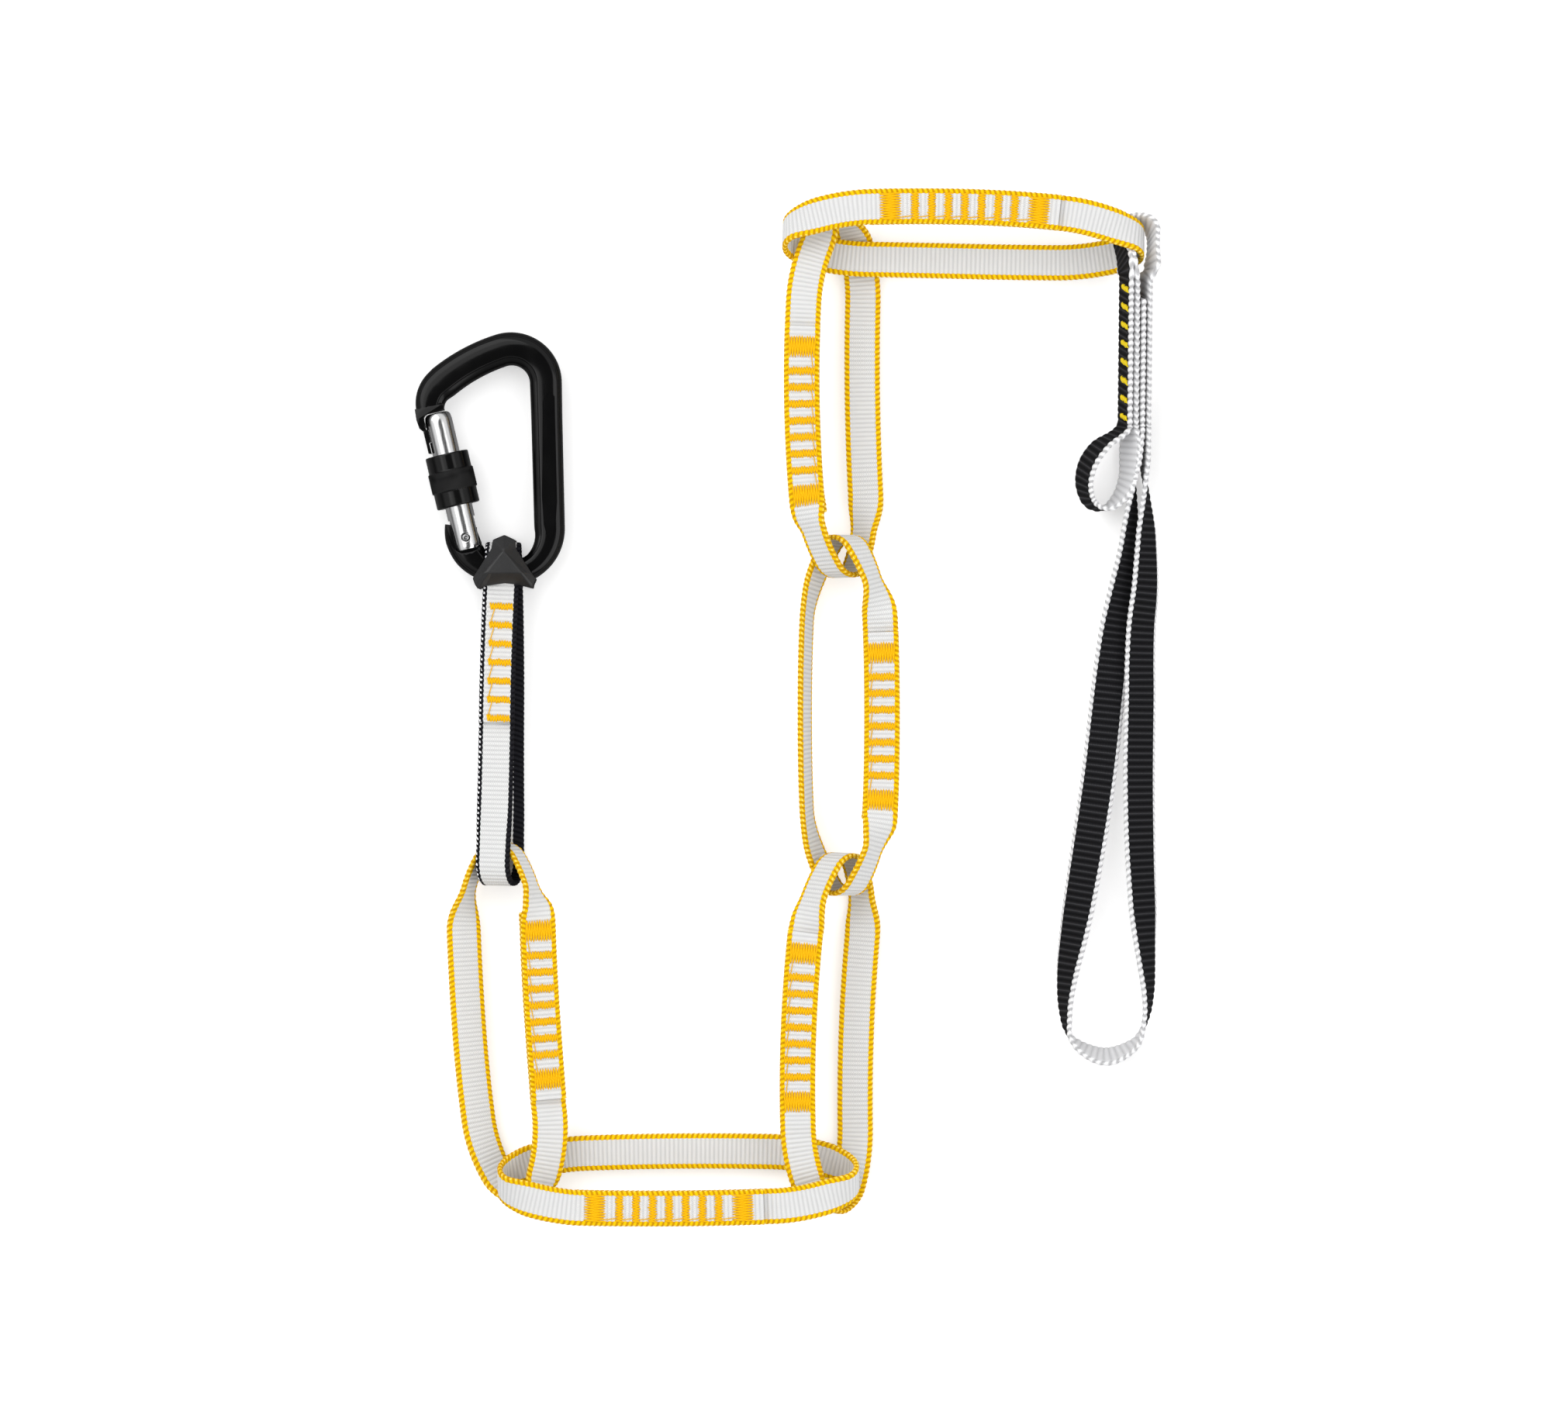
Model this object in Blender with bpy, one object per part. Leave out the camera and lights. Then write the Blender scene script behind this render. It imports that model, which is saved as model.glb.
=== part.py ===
# A climbing daisy chain laid flat: six sewn tape rings linked in one another, a screw-gate
# carabiner on a short sling at one end and a long black harness sling at the other.
# Metres, +Z up. It lies on z = 0 and is drawn as seen from above, +Y away from the viewer.

import math

import bmesh
import bpy
from mathutils import Matrix, Vector

MM = 0.001

# Flat tape, the same for the rings and both slings
TAPE_WIDTH = 14.5 * MM
TAPE_THICKNESS = 2.2 * MM
SELVEDGE = 0.6 * MM
LAYER_GAP = 0.3 * MM
SEAT_GAP = 0.3 * MM

# Sewn rings
RING_LENGTH = 145.5 * MM
RING_OPENING = 32.0 * MM
RING_END = 34.75 * MM
RING_STRAIGHT = RING_LENGTH - 2 * RING_END
RING_OVERLAP = RING_STRAIGHT
SEAM_SHIFTS = {1: -6.6 * MM, 2: -3.7 * MM, 3: 2.3 * MM, 4: -4.4 * MM, 5: -9.6 * MM, 6: 0.0}
LAYER_RAMP = 7.0 * MM
LINK_CLEARANCE = 0.9 * MM
LINK_REACH = 15.2 * MM
RING_RISE = 13.8 * MM
CROSS_RING_RISE = 18.6 * MM
TOP_RING_LIFT = 2.6 * MM
LOW_END_RISE = 10.4 * MM
SLING_LINK_RISE = 12.2 * MM
CROSS_DROP_TOP = 6.6 * MM
CROSS_DROP_BOTTOM = 13.3 * MM
SLING_RING_DROP = 8.3 * MM
BOTTOM_RING_FALL = 1.0 * MM
BOTTOM_RING_SETTLE = 3.3 * MM
SLING_RING_LEAN = 10.1 * MM
CROSS_INSET_TOP = 14.9 * MM
CROSS_INSET_BOTTOM = 17.0 * MM

# Stitching
BAR_SPAN = 10.6 * MM
BAR_NARROW = 2.6 * MM
BAR_WIDE = 8.2 * MM
BAR_MARGIN = 4.15 * MM
BAR_WIDE_STEP = 9.8 * MM
BAR_HEIGHT = 0.7 * MM
THREAD_WIDTH = 1.3 * MM
NARROW_BARS = 7
BAR_PIECE = 2.8 * MM

# Carabiner, about the centre of its basket's curve; the bar is walked from its nose to its hinge
BASKET_RADIUS = 17.0 * MM
TOP_CENTRE = (1.6 * MM, 59.1 * MM)
TOP_RADIUS = 13.9 * MM
SHOULDER_CENTRE = (-20.3 * MM, 50.0 * MM)
SHOULDER_RADIUS = 10.9 * MM
NOSE_ANGLE = 193.2
TANG_ANGLE = -185.0
PIVOT_ANGLE = -169.3
BODY_HALF_THICKNESS = 5.0 * MM
# Each row: distance along the bar, outer half width, inner half width, half thickness
BAR_SIZES = ((0.0, 5.6, 5.6, 4.1), (14.0, 7.0, 7.0, 5.0), (37.5, 6.8, 6.8, 5.0),
             (80.0, 6.3, 6.3, 5.0), (125.0, 6.2, 6.2, 5.0), (141.0, 5.7, 4.2, 5.0),
             (159.0, 5.5, 4.2, 5.0), (169.0, 7.6, 5.2, 5.0), (176.0, 8.4, 5.0, 5.0),
             (181.0, 8.3, 4.6, 5.0))
BAR_ROUNDNESS = 2.8
BAR_CORNERS = 16
BAR_TURN_STEP = 11.0
BAR_LINE_STEP = 15.0 * MM
CARABINER_RISE = 9.5 * MM

# Gate and hinge, from the pivot along the gate
GATE_LEAN = 13.2
GATE_LENGTH = 50.0 * MM
GATE_RADIUS = 5.5 * MM
GATE_OPEN = 27.0
FOOT_RADIUS = 6.2 * MM
FOOT_CLEARANCE = 0.4 * MM
TANG_THICKNESS = 4.2 * MM
TANG_CLEARANCE = 0.35 * MM
SLOT_DEPTH = 11.0 * MM
RIVET_RADIUS = 1.55 * MM
RIVET_HALF = 5.7 * MM
RIVET_DIMPLE = 0.4 * MM
TONGUE_END = 37.3 * MM
TONGUE_OUTER = 6.4 * MM
TONGUE_INNER = 4.0 * MM
TONGUE_HALF = 2.6 * MM
TONGUE_ROOT = 55.0 * MM
NOTCH_GAP = 0.6 * MM
REACH = 30.0 * MM

# Locking sleeve
SLEEVE_START = 13.2 * MM
SLEEVE_LENGTH = 21.4 * MM
SLEEVE_RADIUS = 8.75 * MM
KNURL_RADIUS = 9.3 * MM
KNURL_START = 6.2 * MM
KNURL_LENGTH = 8.6 * MM
KNURL_RIDGES = 24
KNURL_GROOVE = 8.95 * MM
SLEEVE_FIT = 0.3 * MM
SLEEVE_MOUTH = 7.7 * MM
SLEEVE_COLLAR = 6.4 * MM

# Carabiner sling and its keeper
SLING_LENGTH = 138.6 * MM
SLING_OVERLAP = 48.0 * MM
SLING_SEAM_START = 16.7 * MM
SLING_TOP = -6.0 * MM
SLING_SLACK = 0.9 * MM
SLING_SHIFT = -1.6 * MM
SLING_BARS = 7
SLING_BAR_PITCH = 7.5 * MM
SLING_BAR_SPAN = 9.0 * MM
SLING_BAR_SHIFT = -1.3 * MM
KEEPER_WALL = 1.45 * MM
KEEPER_SLACK = 1.2 * MM
KEEPER_BEVEL = 0.6 * MM
KEEPER_PEAK = (-1.2 * MM, -8.7 * MM)
KEEPER_PEAK_RISE = 2.0 * MM
KEEPER_OUTLINE = ((-0.9, -2.2), (3.4, -4.2), (3.75, -7.8), (11.6, -20.0), (10.6, -22.2),
                  (10.3, -23.7), (4.4, -22.2), (-0.9, -21.7), (-8.4, -22.8), (-11.6, -24.0),
                  (-12.8, -22.2), (-13.7, -19.7), (-6.2, -7.8), (-5.6, -4.2))

# Harness sling: x across its sewn stack, distances down from its top
TOP_LOOP_RADIUS = 7.3 * MM
TOP_LOOP_SHIFT = 2.7 * MM
TOP_LOOP_SLOPE = 25.0
STACK_SHIFT = -4.7 * MM
STACK_START = 26.0 * MM
STACK_LENGTH = 57.1 * MM
STACK_SEAM = 54.4 * MM
STACK_LEAN = 15.0
SMALL_LOOP_WIDTH = 19.0 * MM
SMALL_LOOP_LENGTH = 32.0 * MM
HARNESS_LENGTH = 340.5 * MM
# The long loop down its left leg and up its right: x in mm, share of the way down to its foot
LONG_LOOP = ((0.8, 0.055), (-1.2, 0.157), (-6.4, 0.29), (-11.2, 0.431), (-17.6, 0.588),
             (-25.0, 0.773), (-28.0, 0.882), (-24.6, 0.961), (-12.5, 1.0), (0.0, 0.969),
             (5.2, 0.89), (4.8, 0.773), (3.0, 0.588), (3.2, 0.431), (3.8, 0.29),
             (4.6, 0.157), (4.2, 0.055))
HARNESS_BARS = 8
HARNESS_BAR_PITCH = 7.32 * MM
HARNESS_RISE = 7.7 * MM
HARNESS_LEAN = 44.0


def clear_scene():
    for obj in list(bpy.data.objects):
        bpy.data.objects.remove(obj)


def material(name, colour, roughness, metallic=0.0):
    made = bpy.data.materials.new(name)
    made.use_nodes = True
    shader = made.node_tree.nodes["Principled BSDF"]
    shader.inputs["Base Color"].default_value = (*colour, 1.0)
    shader.inputs["Roughness"].default_value = roughness
    shader.inputs["Metallic"].default_value = metallic
    made.diffuse_color = (*colour, 1.0)
    return made


def add_object(name, bm, look, origin=(0.0, 0.0, 0.0), smooth_angle=35.0):
    bmesh.ops.recalc_face_normals(bm, faces=bm.faces)
    if bm.calc_volume(signed=True) < 0:
        bmesh.ops.reverse_faces(bm, faces=bm.faces)
    bmesh.ops.translate(bm, verts=bm.verts, vec=-Vector(origin))
    mesh = bpy.data.meshes.new(name)
    bm.to_mesh(mesh)
    bm.free()
    if look:
        mesh.materials.append(look)
    mesh.shade_smooth()
    mesh.set_sharp_from_angle(angle=math.radians(smooth_angle))
    obj = bpy.data.objects.new(name, mesh)
    obj.location = origin
    bpy.context.scene.collection.objects.link(obj)
    return obj


def smoothstep(share):
    share = min(max(share, 0.0), 1.0)
    return share * share * (3.0 - 2.0 * share)


# The link's bend is wide enough for the next ring's tape to pass through it edge on
def bend_radius():
    return TAPE_WIDTH / 2 + LINK_CLEARANCE + TAPE_THICKNESS / 2


# A closed outline in its own plane, x along the loop and y across it, made of tangent arcs
class Loop:
    def __init__(self, runs):
        self.runs = runs
        self.length = sum(run["length"] for run in runs)
        self.half = max(abs(self.at(self.length * k / 400)[0]) for k in range(400))

    def at(self, distance):
        distance %= self.length
        for run in self.runs:
            if distance <= run["length"]:
                break
            distance -= run["length"]
        share = min(distance / run["length"], 1.0)
        if run["radius"] == 0.0:
            (x0, y0), (x1, y1) = run["ends"]
            along = Vector((x1 - x0, y1 - y0)).normalized()
            return x0 + (x1 - x0) * share, y0 + (y1 - y0) * share, -along.y, along.x
        angle = run["from"] + (run["to"] - run["from"]) * share
        x = run["centre"][0] + run["radius"] * math.cos(angle)
        y = run["centre"][1] + run["radius"] * math.sin(angle)
        return x, y, math.cos(angle), math.sin(angle)

    def stops(self, start, finish, longest, widest):
        found = [start, finish]
        turn = math.floor(start / self.length) * self.length
        while turn < finish:
            for run in self.runs:
                sweep = abs(run["to"] - run["from"])
                count = math.ceil(max(run["length"] / longest, sweep / math.radians(widest)))
                found += [turn + run["length"] * k / count for k in range(count + 1)]
                turn += run["length"]
        found = sorted(s for s in found if start <= s <= finish)
        return [s for k, s in enumerate(found) if k == 0 or s - found[k - 1] > 0.3 * MM]


def arc(centre, radius, begin, end):
    return {"centre": centre, "radius": radius, "from": begin, "to": end,
            "length": radius * abs(end - begin)}


def line(first, last):
    return {"radius": 0.0, "ends": (first, last), "from": 0.0, "to": 0.0,
            "length": math.hypot(last[0] - first[0], last[1] - first[1])}


# A ring: straight along its sewn leg and the leg opposite, round shoulders, a tight bend at each end
def ring_loop():
    tight = bend_radius()
    centre = (RING_LENGTH - TAPE_THICKNESS) / 2 - tight
    wide = RING_OPENING / 2
    flat = RING_STRAIGHT / 2
    shoulder = ((centre - flat) ** 2 + wide ** 2 - tight ** 2) / (2 * (wide - tight))
    lean = math.asin((centre - flat) / (shoulder - tight))
    up, full = math.pi / 2, math.pi
    return Loop([
        line((-flat, wide), (flat, wide)),
        arc((flat, wide - shoulder), shoulder, up, up - lean),
        arc((centre, 0.0), tight, up - lean, lean - up),
        arc((flat, shoulder - wide), shoulder, lean - up, -up),
        line((flat, -wide), (-flat, -wide)),
        arc((-flat, shoulder - wide), shoulder, -up, -up - lean),
        arc((-centre, 0.0), tight, -up - lean, lean - 3 * up),
        arc((-flat, wide - shoulder), shoulder, lean - 3 * up, -full - up),
    ])


# The carabiner's sling: a small bend over the bar, a large one in the link, straight between
def sling_loop(bar_bend):
    tight = bend_radius()
    apart = SLING_LENGTH - TAPE_THICKNESS - tight - bar_bend
    middle = (bar_bend - tight) / 2
    near, far = middle - apart / 2, middle + apart / 2
    lean = math.asin((tight - bar_bend) / apart)
    quarter = math.pi / 2

    def rim(centre, radius, angle):
        return centre + radius * math.cos(angle), radius * math.sin(angle)

    high = quarter + lean
    return Loop([
        line(rim(near, bar_bend, high), rim(far, tight, high)),
        arc((far, 0.0), tight, high, -high),
        line(rim(far, tight, -high), rim(near, bar_bend, -high)),
        arc((near, 0.0), bar_bend, -high, high - 2 * math.pi),
    ])


# Where a loop lies: its plane is tilted about its own axis and its tape turned to face up
class Route:
    def __init__(self, loop, start, end, side, tilts, bow=0.0, lift=0.0,
                 faces=(90.0, 90.0), settle=((2.0, 12.0), (2.0, 12.0))):
        self.loop = loop
        self.start = Vector(start)
        self.end = Vector(end)
        self.along = Vector((self.end.x - self.start.x, self.end.y - self.start.y, 0)).normalized()
        self.up = Vector((0.0, 0.0, 1.0))
        across = self.up.cross(self.along)
        self.side = across if across.dot(Vector(side)) > 0 else -across
        self.hand = 1.0 if self.along.cross(self.side).z > 0 else -1.0
        self.tilts = tilts
        self.bow = bow
        self.lift = lift
        self.faces = faces
        self.settle = settle

    def tilt(self, q):
        begin, middle, finish = self.tilts
        return math.radians(middle + ((finish if q > 0 else begin) - middle) * q * q)

    def point(self, distance):
        x, y, _, _ = self.loop.at(distance)
        q = x / self.loop.half
        centre = self.start.lerp(self.end, (q + 1) / 2)
        arch = 1 - q * q
        centre += self.side * (self.bow * arch) + self.up * (self.lift * arch)
        return centre + self.opening(q) * y

    def opening(self, q):
        tilt = self.tilt(q)
        return self.side * math.cos(tilt) + self.up * math.sin(tilt)

    def frame(self, distance, offset=0.0):
        x, y, nx, ny = self.loop.at(distance)
        q = x / self.loop.half
        ahead = (self.point(distance + MM) - self.point(distance - MM)).normalized()
        face = self.faces[0 if y > 0 else 1]
        near, far = self.settle[1 if q > 0 else 0]
        share = smoothstep((self.loop.half - abs(x) - near * MM) / ((far - near) * MM))
        turn = (math.radians(face) - self.tilt(q)) * share * self.hand
        normal = Matrix.Rotation(turn, 3, self.along) @ (self.along * nx + self.opening(q) * ny)
        normal = (normal - ahead * normal.dot(ahead)).normalized()
        return self.point(distance) + normal * offset, ahead.cross(normal), normal


# A tape's section: flat faces with a thin rounded selvedge at each edge
def section(frame, width=TAPE_WIDTH, thickness=TAPE_THICKNESS):
    point, across, normal = frame
    half, rise = width / 2, thickness / 2
    corners = ((-half, 0.0), (-half + SELVEDGE, rise), (half - SELVEDGE, rise),
               (half, 0.0), (half - SELVEDGE, -rise), (-half + SELVEDGE, -rise))
    return [point + across * v + normal * h for v, h in corners]


# A strip grown from its first section, one extrusion for each station
def strip(stations):
    bm = bmesh.new()
    face = bm.faces.new([bm.verts.new(p) for p in stations[0]])
    for places in stations[1:]:
        below = face
        grown = bmesh.ops.extrude_face_region(bm, geom=[below])["geom"]
        face = next(g for g in grown if isinstance(g, bmesh.types.BMFace))
        for vert, place in zip(face.verts, places):
            vert.co = place
        if places is not stations[1]:
            bmesh.ops.delete(bm, geom=[below], context="FACES_ONLY")
    return bm


# The tape goes once round the loop and on over its own start, where the two layers are sewn
class SewnLoop:
    def __init__(self, route, overlap, begin):
        self.route = route
        self.overlap = overlap
        self.begin = begin
        self.step = (TAPE_THICKNESS + LAYER_GAP) / 2

    def offset(self, distance):
        turn = self.route.loop.length
        past = distance - self.begin
        if past <= self.overlap + LAYER_RAMP:
            return -self.step * (1 - smoothstep((past - self.overlap) / LAYER_RAMP))
        return self.step * smoothstep((past - turn + LAYER_RAMP) / LAYER_RAMP)

    def tape(self, longest, widest):
        finish = self.begin + self.route.loop.length + self.overlap
        places = self.route.loop.stops(self.begin, finish, longest, widest)
        for edge in (self.overlap, self.overlap + LAYER_RAMP / 2, self.overlap + LAYER_RAMP,
                     self.route.loop.length - LAYER_RAMP, self.route.loop.length - LAYER_RAMP / 2,
                     self.route.loop.length):
            places = [s for s in places if abs(s - self.begin - edge) > MM] + [self.begin + edge]
        return strip([section(self.route.frame(s, self.offset(s))) for s in sorted(places)])

    # A point of the outer face: u along the seam from its middle, v across it, h above it
    def face(self, u, v, h):
        height = self.step + TAPE_THICKNESS / 2 + SEAT_GAP + h
        middle = self.begin + self.overlap / 2
        point, across, normal = self.route.frame(middle + u, height)
        return point + across * v


# Sewn bars with the thread between them, cut as one comb and laid on the face it sews
def stitching(place, bars, span, hand, shift=0.0):
    bm = bmesh.new()
    half = span / 2
    inner = half - THREAD_WIDTH
    found = {}

    def corner(u, v):
        key = (round(u / MM, 4), round(v / MM, 4))
        if key not in found:
            found[key] = bm.verts.new((u, v, 0.0))
        return found[key]

    edges = []
    for middle, width in bars:
        pieces = math.ceil(width / BAR_PIECE)
        edges += [(middle - width / 2 + width * k / pieces, k < pieces) for k in range(pieces + 1)]
    edges.sort()
    for (low, is_bar), (high, _) in zip(edges, edges[1:]):
        for lower, upper in ((-half, inner), (inner, half)):
            if is_bar or upper == half:
                bm.faces.new([corner(low, lower), corner(high, lower),
                              corner(high, upper), corner(low, upper)])
    grown = bmesh.ops.extrude_face_region(bm, geom=bm.faces[:])["geom"]
    tops = [g for g in grown if isinstance(g, bmesh.types.BMVert)]
    bmesh.ops.translate(bm, verts=tops, vec=(0.0, 0.0, BAR_HEIGHT))
    for vert in bm.verts:
        vert.co = place(vert.co.x, vert.co.y * hand + shift, vert.co.z)
    return bm


def ring_bars():
    last = RING_OVERLAP / 2 - BAR_MARGIN - BAR_WIDE / 2
    middle = (NARROW_BARS - 1) / 2
    pitch = (last - BAR_WIDE_STEP) / middle
    bars = [((k - middle) * pitch, BAR_NARROW) for k in range(NARROW_BARS)]
    return [(-last, BAR_WIDE), *bars, (last, BAR_WIDE)]


# Where the six rings lie, walked from the fourth, which is the middle of the upright run
def ring_routes():
    loop = ring_loop()
    half = loop.half
    tight = bend_radius()
    west, east = (-1.0, 0.0, 0.0), (1.0, 0.0, 0.0)
    south, north = (0.0, -1.0, 0.0), (0.0, 1.0, 0.0)
    linked = ((16.0, 34.0), (16.0, 34.0))
    routes = {}
    routes[4] = Route(loop, (0.0, -half, RING_RISE), (0.0, half, RING_RISE), east,
                      (45.0, 14.0, 45.0), faces=(90.0, 18.0), settle=linked)
    near = half - LINK_REACH
    far = near + 2 * half
    routes[5] = Route(loop, (0.0, near, RING_RISE), (-2.0 * MM, far, LOW_END_RISE + 0.8 * MM),
                      west, (45.0, 40.0, 45.0), bow=3.5 * MM, lift=1.8 * MM,
                      settle=((16.0, 34.0), (0.0, 11.0)))
    routes[3] = Route(loop, (-5.2 * MM, -far, LOW_END_RISE), (0.0, -near, RING_RISE - 0.3 * MM),
                      west, (45.0, 43.0, 45.0), bow=3.8 * MM, lift=1.6 * MM,
                      settle=((0.0, 11.0), (16.0, 34.0)))
    lateral = tight * math.cos(math.radians(45.0))
    left = routes[5].end.x - lateral - CROSS_INSET_TOP
    level = routes[5].end.y - CROSS_DROP_TOP
    rise = CROSS_RING_RISE + TOP_RING_LIFT
    routes[6] = Route(loop, (left, level, rise), (left + 2 * half, level - 3.5 * MM, rise),
                      north, (57.0, 50.0, 65.0), bow=2.0 * MM,
                      settle=((0.0, 14.0), (0.0, 14.0)))
    right = routes[3].start.x - lateral + CROSS_INSET_BOTTOM
    level = routes[3].start.y + CROSS_DROP_BOTTOM
    routes[2] = Route(loop, (right - 2 * half, level - BOTTOM_RING_FALL, CROSS_RING_RISE),
                      (right, level, CROSS_RING_RISE - BOTTOM_RING_SETTLE), south, (57.0, 47.0, 57.0),
                      settle=((0.0, 14.0), (0.0, 14.0)))
    lateral = tight * math.cos(math.radians(35.0))
    foot = routes[2].start.x + CROSS_INSET_BOTTOM - lateral
    level = routes[2].start.y - SLING_RING_DROP
    routes[1] = Route(loop, (foot - SLING_RING_LEAN, level + 2 * half, SLING_LINK_RISE),
                      (foot, level, LOW_END_RISE), east, (18.0, 20.0, 35.0),
                      bow=-2.4 * MM, lift=1.5 * MM, faces=(80.0, 70.0),
                      settle=((16.0, 34.0), (0.0, 11.0)))
    return routes


# The carabiner's sling hangs from ring 1 and goes round the basket at its other end
def sling_route(first_ring):
    bar_bend = BODY_HALF_THICKNESS + SLING_SLACK + TAPE_THICKNESS / 2
    loop = sling_loop(bar_bend)
    foot = Vector((first_ring.start.x + 0.3 * MM, first_ring.start.y - LINK_REACH, SLING_LINK_RISE))
    head = Vector((foot.x + 1.4 * MM, foot.y + 2 * loop.half, CARABINER_RISE))
    return Route(loop, head, foot, (-1.0, 0.0, 0.0), (90.0, 78.0, 72.0),
                 settle=((2.0, 12.0), (16.0, 34.0)))


# A smooth curve through points, which leaves along the first direction and arrives along the last
def smooth_curve(points, leave, arrive, steps):
    line_up = [Vector(points[0]) - Vector(leave), *map(Vector, points), Vector(points[-1]) + Vector(arrive)]
    found = []
    for k in range(1, len(line_up) - 2):
        before, first, second, after = line_up[k - 1:k + 3]
        for step in range(steps):
            t = step / steps
            found.append(0.5 * (2 * first + (second - before) * t
                                + (2 * before - 5 * first + 4 * second - after) * t ** 2
                                + (3 * first - before - 3 * second + after) * t ** 3))
    return found


def straight(first, last, steps):
    first, last = Vector(first), Vector(last)
    return [first.lerp(last, k / steps) for k in range(steps)]


# Leans, twists and rises of the harness sling, by the distance down from its top
def blend(places, y, ease=smoothstep):
    for (y0, v0), (y1, v1) in zip(places, places[1:]):
        if y <= y1:
            return v0 + (v1 - v0) * ease((y - y0) / (y1 - y0))
    return places[-1][1]


# The harness sling's centre line: one tape from inside the stack down the long loop's left leg
# and up its right, round ring 6, down the stack's face, round the small loop and up again
def harness_plan():
    pitch = TAPE_THICKNESS + LAYER_GAP
    layers = [(k - 1.5) * pitch for k in range(4)]
    down = STACK_START + STACK_LENGTH
    bottom = HARNESS_LENGTH - TAPE_THICKNESS
    reach = TOP_LOOP_RADIUS
    centre = TOP_LOOP_SHIFT
    wide, deep = SMALL_LOOP_WIDTH, SMALL_LOOP_LENGTH
    legs = [(x * MM, down + (bottom - down) * share) for x, share in LONG_LOOP]
    long_loop = [(layers[2], down), *legs, (layers[3], down)]
    crown = [(centre + reach * math.cos(math.radians(a)),
              TAPE_THICKNESS / 2 + reach * (1 - math.sin(math.radians(a))))
             for a in range(0, 181, 20)]
    over = [(layers[3], STACK_START), (layers[3] + 2.6 * MM, STACK_START - 4.5 * MM),
            (centre + reach - 0.6 * MM, STACK_START - 9 * MM), *crown,
            (layers[0] - 0.5 * MM, STACK_START - 9 * MM), (layers[0], STACK_START)]
    small = [(layers[0], down), (layers[0] - 2.6 * MM, down + 0.11 * deep),
             (layers[0] - 0.62 * wide, down + 0.26 * deep),
             (layers[0] - 0.92 * wide, down + 0.47 * deep),
             (layers[0] - wide, down + 0.72 * deep),
             (layers[0] - 0.83 * wide, down + 0.94 * deep),
             (layers[0] - 0.47 * wide, down + deep),
             (layers[0] - 0.13 * wide, down + 0.88 * deep),
             (layers[1] - 1.2 * MM, down + 0.64 * deep),
             (layers[1] - 0.3 * MM, down + 0.30 * deep), (layers[1], down)]
    south, north = (0.0, 9 * MM), (0.0, -9 * MM)
    runs = [straight((layers[2], STACK_START + 6.0 * MM), (layers[2], down), 4),
            smooth_curve(long_loop, (0.0, 20 * MM), (0.0, -20 * MM), 3),
            straight((layers[3], down), (layers[3], STACK_START), 4),
            smooth_curve(over, north, south, 1),
            straight((layers[0], STACK_START), (layers[0], down), 6),
            smooth_curve(small, south, north, 2),
            straight((layers[1], down), (layers[1], STACK_START + 3.7 * MM), 4),
            [Vector((layers[1], STACK_START + 3.7 * MM))]]
    return [(p, number) for number, run in enumerate(runs) for p in run]


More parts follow.
